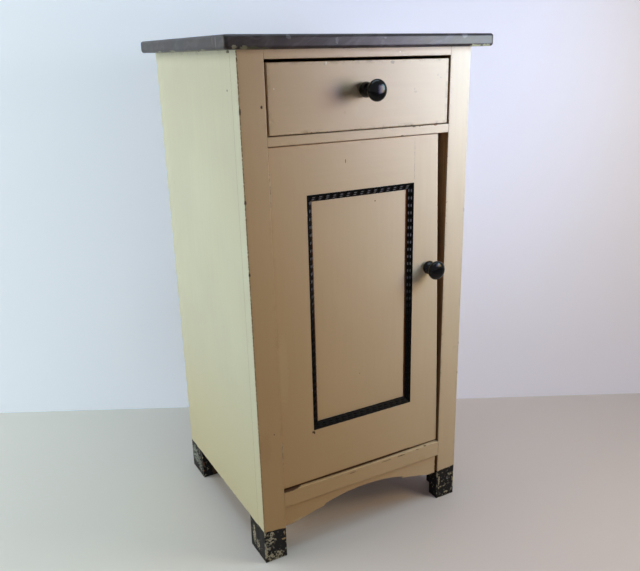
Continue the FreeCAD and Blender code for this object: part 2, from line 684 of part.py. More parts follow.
# ---------------------------------------------------------------- knobs
def knob_stations(length):
    """Distance from the seat and radius of points along the knob's outline, seat to tip."""
    middle = length - KNOB_HEAD_FRONT
    stations = [
        (0.0, KNOB_BASE_RADIUS),
        (KNOB_COLLAR_AT, KNOB_COLLAR_RADIUS),
        (KNOB_COLLAR_SHARE * middle, (2.0 * KNOB_COLLAR_RADIUS + KNOB_NECK_RADIUS) / 3.0),
        (KNOB_NECK_SHARE * middle, KNOB_NECK_RADIUS),
    ]
    for step in range(-2, 4):
        angle = math.radians(30.0 * step)
        half = KNOB_HEAD_REAR if step < 0 else KNOB_HEAD_FRONT
        stations.append((middle + half * math.sin(angle), KNOB_HEAD_RADIUS * math.cos(angle)))
    return stations


def knob_body(x, z, seat, length):
    """A turned knob: a rounded collar, a narrow neck and a flattened ball."""
    def at(out, radius):
        return Vector(x + radius, FRONT_Y + seat - out, z)

    curve = Part.BSplineCurve()
    curve.interpolate(Points=[at(out, radius) for out, radius in knob_stations(length)],
                      InitialTangent=Vector(0.3, -1, 0), FinalTangent=Vector(-1, 0, 0))
    outline = Part.Wire([
        Part.makeLine(at(0.0, 0.0), at(0.0, KNOB_BASE_RADIUS)),
        curve.toShape(),
        Part.makeLine(at(length, 0.0), at(0.0, 0.0)),
    ])
    return Part.Face(outline).revolve(at(0.0, 0.0), BACKWARD, 360)


def drawer_knob():
    """The drawer's knob with the hole for its screw."""
    knob = knob_body(DRAWER_MIDDLE_X, DRAWER_KNOB_HEIGHT, DRAWER_RECESS, KNOB_LENGTH)
    return knob.cut(drawer_knob_screw(SCREW_CLEARANCE))


def door_knob():
    """The door's knob, turned in one piece with the spindle of the latch."""
    seat = DOOR_RECESS - KNOB_TURN_GAP
    knob = knob_body(LATCH_X, LATCH_HEIGHT, seat, DOOR_KNOB_LENGTH)
    spindle = rod_back(LATCH_X, LATCH_HEIGHT, SPINDLE_RADIUS, seat,
                       FINGER_BACK + SPINDLE_STANDOUT)
    return knob.fuse(spindle).removeSplitter().cut(latch_pin(SCREW_CLEARANCE))


def latch_finger():
    """The wooden finger that turns behind the stile; at rest it hangs free."""
    half = FINGER_WIDTH / 2.0
    low = LATCH_HEIGHT - FINGER_REACH + half
    bar = board(LATCH_X - half, LATCH_X + half, FINGER_FRONT, FINGER_BACK, low, LATCH_HEIGHT)
    ends = [rod_back(LATCH_X, z, half, FINGER_FRONT, FINGER_BACK) for z in (low, LATCH_HEIGHT)]
    hole = rod_back(LATCH_X, LATCH_HEIGHT, SPINDLE_RADIUS + SCREW_CLEARANCE,
                    FINGER_FRONT - 1.0, FINGER_BACK + 1.0)
    finger = bar.fuse(ends).removeSplitter()
    return cut_all(finger, [hole, latch_pin(SCREW_CLEARANCE)])


def latch_washer():
    """The washer between the door's back and the finger, lying on the finger."""
    start = FINGER_FRONT - WASHER_THICK
    disc = rod_back(LATCH_X, LATCH_HEIGHT, WASHER_RADIUS, start, FINGER_FRONT)
    hole = rod_back(LATCH_X, LATCH_HEIGHT, SPINDLE_RADIUS + SPINDLE_CLEARANCE,
                    start - 1.0, FINGER_FRONT + 1.0)
    return disc.cut(hole)


def latch_pin(spare=0.0):
    """The pin that holds the finger on the spindle."""
    reach = FINGER_WIDTH / 2.0 + LATCH_PIN_STANDOUT
    depth = (FINGER_FRONT + FINGER_BACK) / 2.0
    return rod_across(depth, LATCH_HEIGHT, LATCH_PIN_RADIUS + spare,
                      LATCH_X - reach, LATCH_X + reach)


# ---------------------------------------------------------------- door
def door_tenons(z0, z1):
    """The two tenons of a door rail."""
    low = z0 + DOOR_TENON_SHOULDER
    high = z1 - DOOR_TENON_SHOULDER
    left = board(PANEL_LEFT_X - DOOR_TENON_LENGTH, PANEL_LEFT_X, PANEL_FACE, PANEL_BACK,
                 low, high)
    right = board(PANEL_RIGHT_X, PANEL_RIGHT_X + DOOR_TENON_LENGTH, PANEL_FACE, PANEL_BACK,
                  low, high)
    return [left, right]


def door_rail_levels():
    """Lowest and highest level of the door's two rails."""
    return {
        "door_top_rail": (PANEL_HIGH_Z, DOOR_TOP),
        "door_bottom_rail": (DOOR_BOTTOM, PANEL_LOW_Z),
    }


def panel_grooves():
    """The groove round the opening that holds the panel."""
    spare = GROOVE_CLEARANCE
    return board(PANEL_LEFT_X - PANEL_GROOVE, PANEL_RIGHT_X + PANEL_GROOVE,
                 PANEL_FACE - spare, PANEL_BACK + spare,
                 PANEL_LOW_Z - PANEL_GROOVE, PANEL_HIGH_Z + PANEL_GROOVE)


def door_rail(name):
    """A door rail with its tenons and its share of the groove."""
    z0, z1 = door_rail_levels()[name]
    rail = board(PANEL_LEFT_X, PANEL_RIGHT_X, DOOR_RECESS, DOOR_BACK, z0, z1)
    outer = z1 if name == "door_top_rail" else z0
    rail = round_edges(rail, ARRIS_ROUND, ACROSS, lambda x, depth, z: near(z, outer)
                       and near(depth, DOOR_RECESS))
    return rail.fuse(door_tenons(z0, z1)).removeSplitter().cut(panel_grooves())


def door_mortises():
    """All mortises of the door's stiles."""
    cuts = []
    for z0, z1 in door_rail_levels().values():
        cuts += door_tenons(z0, z1)
    return cuts


def door_hinge_stile():
    """The door stile that carries the hinges."""
    stile = board(DOOR_LEFT_X, PANEL_LEFT_X, DOOR_RECESS, DOOR_BACK, DOOR_BOTTOM, DOOR_TOP)
    stile = round_edges(stile, ARRIS_ROUND, ACROSS,
                        lambda x, depth, z: near(depth, DOOR_RECESS))
    stile = round_edges(stile, ARRIS_ROUND, UP, lambda x, depth, z: x < PANEL_LEFT_X - 1.0
                        and near(depth, DOOR_RECESS))
    cuts = hinge_reliefs() + hinge_recesses(DOOR_LEFT_X) + hinge_screws_door(SCREW_CLEARANCE)
    return cut_all(stile, door_mortises() + cuts + [panel_grooves()])


def door_latch_stile():
    """The door stile with the tapered, softened edge and the spindle's hole."""
    stile = prism_back([(PANEL_RIGHT_X, DOOR_BOTTOM), (DOOR_LOW_RIGHT_X, DOOR_BOTTOM),
                        (DOOR_LOW_RIGHT_X, DOOR_TAPER_START), (DOOR_HIGH_RIGHT_X, DOOR_TOP),
                        (PANEL_RIGHT_X, DOOR_TOP)], DOOR_RECESS, DOOR_BACK)
    taper = Vector(DOOR_HIGH_RIGHT_X - DOOR_LOW_RIGHT_X, 0, DOOR_TOP - DOOR_TAPER_START)
    slanted = straight_edges(stile, taper.normalize(),
                             lambda x, depth, z: near(depth, DOOR_RECESS))
    stile = stile.makeFillet(ARRIS_ROUND, LATCH_ARRIS_ROUND, slanted)
    hole = rod_back(LATCH_X, LATCH_HEIGHT, SPINDLE_RADIUS + SPINDLE_CLEARANCE,
                    DOOR_RECESS - 1.0, DOOR_BACK + 1.0)
    return cut_all(stile, door_mortises() + [hole, panel_grooves()])


def door_panel():
    """The flat panel in its groove."""
    return board(PANEL_LEFT_X - PANEL_TONGUE, PANEL_RIGHT_X + PANEL_TONGUE,
                 PANEL_FACE, PANEL_BACK,
                 PANEL_LOW_Z - PANEL_TONGUE, PANEL_HIGH_Z + PANEL_TONGUE)


def moulding_section(x, z, outward):
    """The moulding's outline across its run, as a face at one end of the run.

    outward is the unit vector in the door's plane that points to the frame.
    """
    face = FRONT_Y + DOOR_RECESS
    reed = (MOULDING_WIDTH - MOULDING_FILLET - MOULDING_SLOPE) / REED_COUNT
    side = (reed - REED_CREST) / 2.0
    crest = -MOULDING_PROUD
    valley = crest + REED_VALLEY_DEPTH
    profile = [(0.0, PANEL_SINK), (0.0, 0.0)]
    profile.append((MOULDING_FILLET, 0.0))
    for index in range(REED_COUNT):
        start = MOULDING_FILLET + index * reed
        profile.append((start + side, crest))
        profile.append((start + reed - side, crest))
        profile.append((start + reed, valley))
    profile.append((MOULDING_WIDTH, PANEL_SINK))
    corners = [Vector(x, face + back, z) - outward * inward for inward, back in profile]
    return Part.Face(Part.makePolygon(corners + corners[:1]))


def moulding_notches(start, end, run, outward):
    """Cross cuts at an even pitch along one strip."""
    length = (end - start).Length
    count = int(length // NOTCH_PITCH)
    margin = (length - (count - 1) * NOTCH_PITCH) / 2.0
    cuts = []
    for index in range(count):
        centre = start + run * (margin + index * NOTCH_PITCH) - outward * MOULDING_FILLET
        crest = Vector(0, -MOULDING_PROUD - 0.5, 0)
        root = Vector(0, -MOULDING_PROUD + NOTCH_DEPTH, 0)
        corners = [centre + crest - run * (NOTCH_WIDTH / 2.0),
                   centre + crest + run * (NOTCH_WIDTH / 2.0),
                   centre + root]
        wedge = Part.Face(Part.makePolygon(corners + corners[:1]))
        cuts.append(wedge.extrude(outward * -MOULDING_WIDTH))
    return cuts


def mitre_block(start, end, run, outward):
    """The room of one mitred strip: a trapezoid that narrows towards the panel."""
    front = Vector(0, -MOULDING_PROUD - 1.0, 0)
    inset = MOULDING_WIDTH + 1.0
    corners = [start + front, end + front,
               end + front - outward * inset - run * inset,
               start + front - outward * inset + run * inset]
    face = Part.Face(Part.makePolygon(corners + corners[:1]))
    return face.extrude(Vector(0, PANEL_SINK + MOULDING_PROUD + 2.0, 0))


def moulding(side):
    """One mitred strip of the notched moulding."""
    face = FRONT_Y + DOOR_RECESS
    low_left = Vector(PANEL_LEFT_X, face, PANEL_LOW_Z)
    low_right = Vector(PANEL_RIGHT_X, face, PANEL_LOW_Z)
    high_left = Vector(PANEL_LEFT_X, face, PANEL_HIGH_Z)
    high_right = Vector(PANEL_RIGHT_X, face, PANEL_HIGH_Z)
    runs = {
        "left": (low_left, high_left, Vector(-1, 0, 0)),
        "right": (low_right, high_right, Vector(1, 0, 0)),
        "top": (high_left, high_right, Vector(0, 0, 1)),
        "bottom": (low_left, low_right, Vector(0, 0, -1)),
    }
    start, end, outward = runs[side]
    run = (end - start).normalize()
    strip = moulding_section(start.x, start.z, outward).extrude(end - start)
    strip = strip.common(mitre_block(start, end, run, outward))
    return cut_all(strip, moulding_notches(start, end, run, outward))


# ---------------------------------------------------------------- hinges
def knuckle_spans(z, fixed):
    """Height spans of the knuckles of one leaf; the case leaf has the end ones."""
    pitch = HINGE_HEIGHT / HINGE_KNUCKLES
    low = z - HINGE_HEIGHT / 2.0
    spans = []
    for index in range(HINGE_KNUCKLES):
        if (index % 2 == 0) == fixed:
            start = low + index * pitch
            end = start + pitch
            if index > 0:
                start += KNUCKLE_GAP / 2.0
            if index < HINGE_KNUCKLES - 1:
                end -= KNUCKLE_GAP / 2.0
            spans.append((start, end))
    return spans


def hinge_reliefs():
    """The hollows in stile and door that the knuckles turn in."""
    reach = HINGE_HEIGHT / 2.0 + HINGE_PIN_HEAD + HINGE_RELIEF
    return [rod_up(HINGE_AXIS_X, HINGE_AXIS_DEPTH, HINGE_KNUCKLE_RADIUS + HINGE_RELIEF,
                   z - reach, z + reach) for z in HINGE_CENTRES.values()]


def hinge_recesses(x0):
    """The shallow recesses that the leaves lie in, from x0 to the right."""
    return [board(x0, x0 + HINGE_LEAF_THICK, HINGE_AXIS_DEPTH,
                  HINGE_AXIS_DEPTH + HINGE_LEAF_DEPTH,
                  z - HINGE_HEIGHT / 2.0, z + HINGE_HEIGHT / 2.0)
            for z in HINGE_CENTRES.values()]


def hinge_leaf(which, fixed):
    """One leaf of a butt hinge, with its knuckles and countersunk screw holes."""
    z = HINGE_CENTRES[which]
    x0 = -OPENING_X - HINGE_LEAF_THICK if fixed else DOOR_LEFT_X
    x1 = x0 + HINGE_LEAF_THICK
    low = z - HINGE_HEIGHT / 2.0
    high = z + HINGE_HEIGHT / 2.0
    start = HINGE_AXIS_DEPTH + HINGE_KNUCKLE_RADIUS + HINGE_RELIEF
    leaf = board(x0, x1, start, HINGE_AXIS_DEPTH + HINGE_LEAF_DEPTH, low, high)
    parts = []
    for z0, z1 in knuckle_spans(z, fixed):
        parts.append(rod_up(HINGE_AXIS_X, HINGE_AXIS_DEPTH, HINGE_KNUCKLE_RADIUS, z0, z1))
        parts.append(board(x0, x1, HINGE_AXIS_DEPTH, start, z0, z1))
    leaf = leaf.fuse(parts).removeSplitter()
    bore = rod_up(HINGE_AXIS_X, HINGE_AXIS_DEPTH, HINGE_PIN_RADIUS + HINGE_PIN_CLEARANCE,
                  low - 1.0, high + 1.0)
    screws = hinge_screws_case(SCREW_CLEARANCE) + hinge_screws_door(SCREW_CLEARANCE)
    return cut_all(leaf, [bore] + screws)


def hinge_pin(which):
    """The loose pin of one hinge, with a small head at each end."""
    z = HINGE_CENTRES[which]
    half = HINGE_HEIGHT / 2.0
    pin = rod_up(HINGE_AXIS_X, HINGE_AXIS_DEPTH, HINGE_PIN_RADIUS, z - half, z + half)
    heads = [rod_up(HINGE_AXIS_X, HINGE_AXIS_DEPTH, HINGE_PIN_HEAD_RADIUS,
                    low, low + HINGE_PIN_HEAD) for low in (z + half, z - half - HINGE_PIN_HEAD)]
    return pin.fuse(heads).removeSplitter()


def hinge_screw_places():
    """Depth and height of the screws of both hinges."""
    depth = HINGE_AXIS_DEPTH + (HINGE_KNUCKLE_RADIUS + HINGE_LEAF_DEPTH) / 2.0
    places = []
    for z in HINGE_CENTRES.values():
        for index in range(HINGE_SCREW_COUNT):
            step = (index + 0.5) / HINGE_SCREW_COUNT - 0.5
            places.append((depth, z + step * HINGE_HEIGHT))
    return places


def hinge_screw(x_face, direction, depth, z, spare):
    """A countersunk screw; x_face is the leaf's open side, direction points into the wood."""
    base = Vector(x_face, FRONT_Y + depth, z)
    along = Vector(direction, 0, 0)
    head = Part.makeCone(HINGE_SCREW_HEAD + spare, HINGE_SCREW_RADIUS + spare,
                         HINGE_LEAF_THICK, base, along)
    shank = Part.makeCylinder(HINGE_SCREW_RADIUS + spare, HINGE_SCREW_LENGTH + spare,
                              base, along)
    return head.fuse(shank).removeSplitter()


def hinge_screws_case(spare=0.0):
    """The screws of the leaves on the case."""
    return [hinge_screw(-OPENING_X, -1, depth, z, spare)
            for depth, z in hinge_screw_places()]


def hinge_screws_door(spare=0.0):
    """The screws of the leaves on the door."""
    return [hinge_screw(DOOR_LEFT_X, 1, depth, z, spare)
            for depth, z in hinge_screw_places()]


# ---------------------------------------------------------------- all pieces
def case_pieces():
    """The fixed pieces of the case."""
    pieces = {
        "top_slab": top_slab(),
        "slab_screws": Part.makeCompound(slab_screws()),
        "front_apron": apron(),
        "dust_board": dust_board(),
        "drawer_stops": Part.makeCompound(drawer_stops()),
        "top_back_rail": top_back_rail(),
        "cupboard_floor": cupboard_floor(),
        "shelf": shelf(),
        "door_stop_strip": door_stop_strip(),
        "back_nails": Part.makeCompound(back_nails()),
    }
    for name in front_rail_levels():
        pieces[name] = front_rail(name)
    for side in ("left", "right"):
        pieces["front_stile_" + side] = front_stile(side)
        pieces["side_board_" + side] = side_board(side)
        pieces["drawer_guide_" + side] = drawer_guide(side)
        pieces["top_kicker_" + side] = top_kicker(side)
        pieces["floor_cleat_" + side] = floor_cleat(side)
        pieces["rear_foot_block_" + side] = rear_foot_block(side)
        pieces["shelf_cleat_" + side] = shelf_cleat(side)
    for place in ("left", "middle", "right"):
        pieces["back_board_" + place] = back_board(place)
    return pieces


def drawer_pieces():
    """The pieces that slide with the drawer."""
    return {
        "drawer_front": drawer_front(),
        "drawer_side_left": drawer_side("left"),
        "drawer_side_right": drawer_side("right"),
        "drawer_back": drawer_back_plate(DRAWER_SIDE_TOP - DRAWER_BACK_DROP),
        "drawer_bottom": drawer_bottom_plate(0.0),
        "drawer_knob": drawer_knob(),
        "drawer_knob_screw": drawer_knob_screw(),
    }


def door_pieces():
    """The pieces that swing with the door."""
    pieces = {
        "door_hinge_stile": door_hinge_stile(),
        "door_latch_stile": door_latch_stile(),
        "door_panel": door_panel(),
        "hinge_screws_door": Part.makeCompound(hinge_screws_door()),
    }
    for name in door_rail_levels():
        pieces[name] = door_rail(name)
    for side in ("left", "right", "top", "bottom"):
        pieces["moulding_" + side] = moulding(side)
    for which in HINGE_CENTRES:
        pieces[which + "_hinge_door_leaf"] = hinge_leaf(which, False)
    return pieces


def hinge_case_pieces():
    """The hinge pieces that stay with the case."""
    pieces = {"hinge_screws_case": Part.makeCompound(hinge_screws_case())}
    for which in HINGE_CENTRES:
        pieces[which + "_hinge_case_leaf"] = hinge_leaf(which, True)
        pieces[which + "_hinge_pin"] = hinge_pin(which)
    return pieces


def latch_pieces():
    """The pieces that turn with the door's knob."""
    return {
        "door_knob": door_knob(),
        "latch_finger": latch_finger(),
        "latch_washer": latch_washer(),
        "latch_pin": latch_pin(),
    }


def main():
    """Write every piece to its own STEP file."""
    os.makedirs("parts", exist_ok=True)
    for group in (case_pieces, hinge_case_pieces, drawer_pieces, door_pieces, latch_pieces):
        for name, shape in group().items():
            shape.exportStep("parts/" + name + ".step")
            print(name, len(shape.Solids), round(shape.Volume, 1), shape.isValid())


main()
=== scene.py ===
import logging
import math
from dataclasses import dataclass, field
from enum import Enum
from typing import Callable, Iterable, Optional, Sequence, Union

import bpy
from mathutils import Matrix, Vector


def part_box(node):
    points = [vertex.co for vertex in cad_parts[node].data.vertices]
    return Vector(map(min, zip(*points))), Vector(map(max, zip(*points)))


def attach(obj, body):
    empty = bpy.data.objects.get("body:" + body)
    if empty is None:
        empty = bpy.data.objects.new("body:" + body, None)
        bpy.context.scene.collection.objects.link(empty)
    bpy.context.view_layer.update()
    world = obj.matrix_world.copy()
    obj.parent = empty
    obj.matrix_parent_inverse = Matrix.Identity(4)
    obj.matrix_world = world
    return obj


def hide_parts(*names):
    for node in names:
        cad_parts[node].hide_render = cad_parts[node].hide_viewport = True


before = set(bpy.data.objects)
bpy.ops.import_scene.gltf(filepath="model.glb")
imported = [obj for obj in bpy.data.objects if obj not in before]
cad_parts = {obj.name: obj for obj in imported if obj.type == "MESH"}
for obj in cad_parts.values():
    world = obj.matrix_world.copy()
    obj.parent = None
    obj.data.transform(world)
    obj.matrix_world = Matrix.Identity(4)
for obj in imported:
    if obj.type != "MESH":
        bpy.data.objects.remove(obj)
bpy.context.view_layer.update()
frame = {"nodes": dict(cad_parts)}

LOG = logging.getLogger("painted_cabinet")

MM = 0.001
FRONT_Y = -161.25 * MM           # plane of the front stiles; depths count back from it

Colour = tuple[float, float, float]
Triple = tuple[float, float, float]


def place(x: float, deep: float, z: float) -> Triple:
    """A point from its distance right of centre, behind the front plane and above the floor.

    Args:
        x: Millimetres right of the centre.
        deep: Millimetres behind the front plane.
        z: Millimetres above the floor.

    Returns:
        The point in metres.
    """
    return (x * MM, FRONT_Y + deep * MM, z * MM)


def paint(red: int, green: int, blue: int) -> Colour:
    """A paint-chart colour (0 to 255 on a screen) as the linear colour that a shader needs.

    Args:
        red: The red share.
        green: The green share.
        blue: The blue share.

    Returns:
        The linear colour.
    """
    shares = (share / 255.0 for share in (red, green, blue))
    return tuple(share / 12.92 if share <= 0.04045 else ((share + 0.055) / 1.055) ** 2.4
                 for share in shares)


def toned(colour: Colour, share: float) -> Colour:
    """A colour made darker by a share below one, or lighter by one above."""
    return tuple(part * share for part in colour)


BROWN = paint(74, 48, 28)
DARK_BROWN = paint(46, 30, 20)
OLIVE = paint(72, 62, 44)
CREAM_CHIP = paint(196, 186, 160)
GREY_CHIP = paint(150, 146, 132)


class Axis(Enum):
    """A direction that grain, brush marks or an edge can follow."""

    X = 0
    Y = 1
    Z = 2

    def across(self) -> Triple:
        """Ones for the two directions across this one, and zero along it."""
        return self.stretch(0.0, 1.0)

    def stretch(self, along: float, across: float) -> Triple:
        """One number along this direction and another across it, such as waves a metre."""
        return tuple(along if index == self.value else across for index in range(3))


class Side(Enum):
    """A side of the door's panel."""

    LEFT = "left"
    RIGHT = "right"
    TOP = "top"
    BOTTOM = "bottom"

    def outward(self) -> tuple[float, float]:
        """The way from the panel to the door's frame, right and up."""
        return {Side.LEFT: (-1.0, 0.0), Side.RIGHT: (1.0, 0.0), Side.TOP: (0.0, 1.0),
                Side.BOTTOM: (0.0, -1.0)}[self]

    def upright(self) -> bool:
        """Whether the strip on this side stands upright."""
        return self in (Side.LEFT, Side.RIGHT)


# ------------------------------------------------------------------ node graphs
@dataclass(frozen=True)
class Value:
    """What a node puts out; arithmetic on it adds the nodes that work it out."""

    graph: "Graph"
    socket: bpy.types.NodeSocket

    def __add__(self, other: "Input") -> "Value":
        """This and another added."""
        return self.graph.calc("ADD", self, other)

    def __radd__(self, other: float) -> "Value":
        """A number and this added."""
        return self.graph.calc("ADD", other, self)

    def __sub__(self, other: "Input") -> "Value":
        """This less another."""
        return self.graph.calc("SUBTRACT", self, other)

    def __rsub__(self, other: float) -> "Value":
        """A number less this."""
        return self.graph.calc("SUBTRACT", other, self)

    def __mul__(self, other: "Input") -> "Value":
        """This times another."""
        return self.graph.calc("MULTIPLY", self, other)

    def __or__(self, other: "Input") -> "Value":
        """The larger of the two: where one mask or the other lies."""
        return self.graph.calc("MAXIMUM", self, other)

    def __abs__(self) -> "Value":
        """This without its sign."""
        return self.graph.calc("ABSOLUTE", self)


Input = Union[float, Triple, Value]
Key = Union[int, str]


class Graph:
    """Adds nodes to one node tree and links them."""

    def __init__(self, tree: bpy.types.NodeTree) -> None:
        """Starts work on a tree."""
        self.tree = tree

    def feed(self, socket: bpy.types.NodeSocket, value: Input) -> None:
        """Links a value into an input, or sets the input to a number or a triple.

        Args:
            socket: The input.
            value: What goes in.
        """
        if isinstance(value, Value):
            self.tree.links.new(value.socket, socket)
        elif socket.type == "RGBA":
            socket.default_value = (*value, 1.0)
        else:
            socket.default_value = value

    def add(self, kind: str, fed: Optional[dict[Key, Input]] = None,
            **settings: object) -> bpy.types.Node:
        """Adds one node.

        Args:
            kind: The node's type name.
            fed: What goes into its inputs, by name or number.
            **settings: Properties to set on it first.

        Returns:
            The new node.
        """
        node = self.tree.nodes.new(kind)
        for name, value in settings.items():
            setattr(node, name, value)
        for key, value in (fed or {}).items():
            self.feed(node.inputs[key], value)
        return node

    def take(self, node: bpy.types.Node, output: Key = 0) -> Value:
        """One output of a node, by name or number."""
        return Value(self, node.outputs[output])

    def calc(self, operation: str, first: Input, second: Input = 0.0) -> Value:
        """A calculation on numbers, named as the Math node names it."""
        return self.take(self.add("ShaderNodeMath", {0: first, 1: second}, operation=operation))

    def vector(self, operation: str, first: Input, second: Input = (0.0, 0.0, 0.0)) -> Value:
        """A calculation on vectors, named as the Vector Math node names it."""
        node = self.add("ShaderNodeVectorMath", {0: first, 1: second}, operation=operation)
        return self.take(node, "Value" if operation in ("LENGTH", "DOT_PRODUCT") else "Vector")

    def step(self, value: Input, low: Input, high: Input) -> Value:
        """A smooth step from 0 where the value is low to 1 where it is high.

        Args:
            value: The value that is tested.
            low: Where the step starts.
            high: Where the step ends.

        Returns:
            The step.
        """
        return self.take(self.add(
            "ShaderNodeMapRange", {"Value": value, "From Min": low, "From Max": high},
            interpolation_type="SMOOTHSTEP"))

    def mix(self, share: Input, first: Input, second: Input) -> Value:
        """A blend of two colours, by the second one's share."""
        return self.take(self.add("ShaderNodeMix", {0: share, 6: first, 7: second},
                                  data_type="RGBA"), 2)

    def noise(self, point: Input, scale: Input, detail: float, roughness: float) -> Value:
        """Cloudy noise of 0.2 to 0.8, by waves a metre, finer layers and their strength."""
        return self.take(self.add("ShaderNodeTexNoise", {
            "Vector": point, "Scale": scale, "Detail": detail, "Roughness": roughness}))

    def effect(self, group: bpy.types.NodeTree, **values: Input) -> dict[str, Value]:
        """Places a shared effect, with its inputs by name, and gives its outputs by name."""
        node = self.add("ShaderNodeGroup", values, node_tree=group)
        return {output.name: Value(self, output) for output in node.outputs}

    def seen(self) -> Value:
        """Which rays see the pale background.

        Returns:
            One for rays from the camera, off gloss or through glass, and otherwise zero.
        """
        path = self.add("ShaderNodeLightPath")
        camera, glossy, glass = (self.take(path, f"Is {kind} Ray")
                                 for kind in ("Camera", "Glossy", "Transmission"))
        return camera | (glossy | glass)


Given = dict[str, Value]
Made = tuple[Value, ...]


class Effects:
    """Shared effects, each a node group that is built once."""

    def __init__(self) -> None:
        """Builds every effect."""
        self.line_wear = self._build(
            "line_wear", self._line_wear, "Mask:Float",
            "Point:Vector Anchor:Vector Across:Vector Width:Float Patch:Float Amount:Float "
            "Reach:Float")
        self.spot = self._build("ragged_spot", self._spot, "Mask:Float",
                                "Point:Vector Centre:Vector Radii:Vector Ragged:Float")
        self.beyond = self._build(
            "beyond_plane", self._beyond, "Mask:Float",
            "Point:Vector Direction:Vector Offset:Float Softness:Float Ragged:Float")
        self.edge = self._build("edge_distance", self._edge, "Distance:Float",
                                "Point:Vector Low:Vector High:Vector")
        self.brush = self._build("brush_marks", self._brush, "Tone:Float Height:Float",
                                 "Point:Vector Stretch:Vector")
        self.grain = self._build("wood_grain", self._grain, "Tone:Float Height:Float",
                                 "Point:Vector Stretch:Vector")
        self.speckle = self._build("speckle", self._speckle, "Mask:Float",
                                   "Point:Vector Scale:Float Density:Float")
        self.scratch = self._build("scratches", self._scratch, "Mask:Float",
                                   "Point:Vector Stretch:Vector Amount:Float")

    @staticmethod
    def _build(name: str, fill: Callable[[Graph, Given], Made], outputs: str,
               inputs: str) -> bpy.types.NodeTree:
        """Makes one node group.

        Args:
            name: The group's name.
            fill: The method that adds its nodes, and returns its outputs in order.
            outputs: Its outputs, as name:kind words.
            inputs: Its inputs, as name:kind words.

        Returns:
            The finished group.
        """
        tree = bpy.data.node_groups.new(name, "ShaderNodeTree")
        for words, way in ((inputs, "INPUT"), (outputs, "OUTPUT")):
            for word in words.split():
                title, kind = word.split(":")
                tree.interface.new_socket(name=title, in_out=way, socket_type="NodeSocket" + kind)
        graph = Graph(tree)
        given = {output.name: Value(graph, output)
                 for output in graph.add("NodeGroupInput").outputs}
        made = graph.add("NodeGroupOutput").inputs
        for socket, value in zip(made, fill(graph, given)):
            graph.feed(socket, value)
        return tree

    @staticmethod
    def _line_wear(graph: Graph, given: Given) -> Made:
        """Paint rubbed off along a straight edge, in broken stretches.

        Args:
            graph: The group's graph.
            given: The group's inputs.

        Returns:
            The mask.
        """
        point, reach = given["Point"], given["Reach"]
        offset = graph.vector("SUBTRACT", point, given["Anchor"])
        away = graph.vector("MULTIPLY", offset, given["Across"])
        run = graph.vector("LENGTH", graph.vector("SUBTRACT", offset, away))
        rest = 1.0 - given["Amount"]
        kept = (graph.step(graph.noise(point, given["Patch"], 3.0, 0.7), rest, rest + 0.12)
                * graph.step(run, reach, reach - 0.004))
        fine = graph.step(graph.noise(point, 330.0, 3.0, 0.65), 0.25, 0.75)
        inside = given["Width"] * (fine * kept) - graph.vector("LENGTH", away)
        return (graph.step(inside, -0.00015, 0.00035),)

    @staticmethod
    def _spot(graph: Graph, given: Given) -> Made:
        """A ragged oval patch.

        Args:
            graph: The group's graph.
            given: The group's inputs.

        Returns:
            The mask.
        """
        point = given["Point"]
        away = graph.vector("DIVIDE", graph.vector("SUBTRACT", point, given["Centre"]),
                            given["Radii"])
        ragged = given["Ragged"] * (graph.noise(point, 380.0, 4.0, 0.7) - 0.5)
        return (graph.step(graph.vector("LENGTH", away) + ragged, 1.1, 0.8),)

    @staticmethod
    def _beyond(graph: Graph, given: Given) -> Made:
        """All that lies beyond a plane, with a wavy border.

        Args:
            graph: The group's graph.
            given: The group's inputs.

        Returns:
            The mask.
        """
        point = given["Point"]
        along = graph.vector("DOT_PRODUCT", point, given["Direction"])
        ragged = given["Ragged"] * (graph.noise(point, 70.0, 3.0, 0.5) - 0.5)
        half = given["Softness"] * 0.5
        return (graph.step(along + ragged - given["Offset"], half * -1.0, half),)

    @staticmethod
    def _edge(graph: Graph, given: Given) -> Made:
        """Distance from a point on a board's face to the board's nearest edge.

        Args:
            graph: The group's graph.
            given: The group's inputs.

        Returns:
            The distance: the middle one of the distances to the three pairs of faces.
        """
        near = graph.vector("MINIMUM", graph.vector("SUBTRACT", given["Point"], given["Low"]),
                            graph.vector("SUBTRACT", given["High"], given["Point"]))
        split = graph.add("ShaderNodeSeparateXYZ", {0: near})
        one, two, three = (graph.take(split, index) for index in range(3))
        return (graph.calc("MINIMUM", one, two) | graph.calc("MINIMUM", one | two, three),)

    @staticmethod
    def _brush(graph: Graph, given: Given) -> Made:
        """Brush marks that run one way, over a slow change of tone.

        Args:
            graph: The group's graph.
            given: The group's inputs.

        Returns:
            The tone and the height.
        """
        point = given["Point"]
        marks = graph.noise(graph.vector("MULTIPLY", point, given["Stretch"]), 1.0, 3.0, 0.6)
        slow = graph.noise(point, 7.0, 2.0, 0.5)
        return graph.step(marks * 0.4 + slow * 0.6, 0.32, 0.68), marks

    @staticmethod
    def _grain(graph: Graph, given: Given) -> Made:
        """Straight-sawn grain with fine pores.

        Args:
            graph: The group's graph.
            given: The group's inputs.

        Returns:
            The tone and the height.
        """
        stretched = graph.vector("MULTIPLY", given["Point"], given["Stretch"])
        rings = graph.noise(stretched, 0.3, 4.0, 0.6)
        pores = graph.noise(stretched, 2.6, 2.0, 0.7)
        tone = rings * 0.72 + pores * 0.28
        return graph.step(tone, 0.34, 0.66), tone

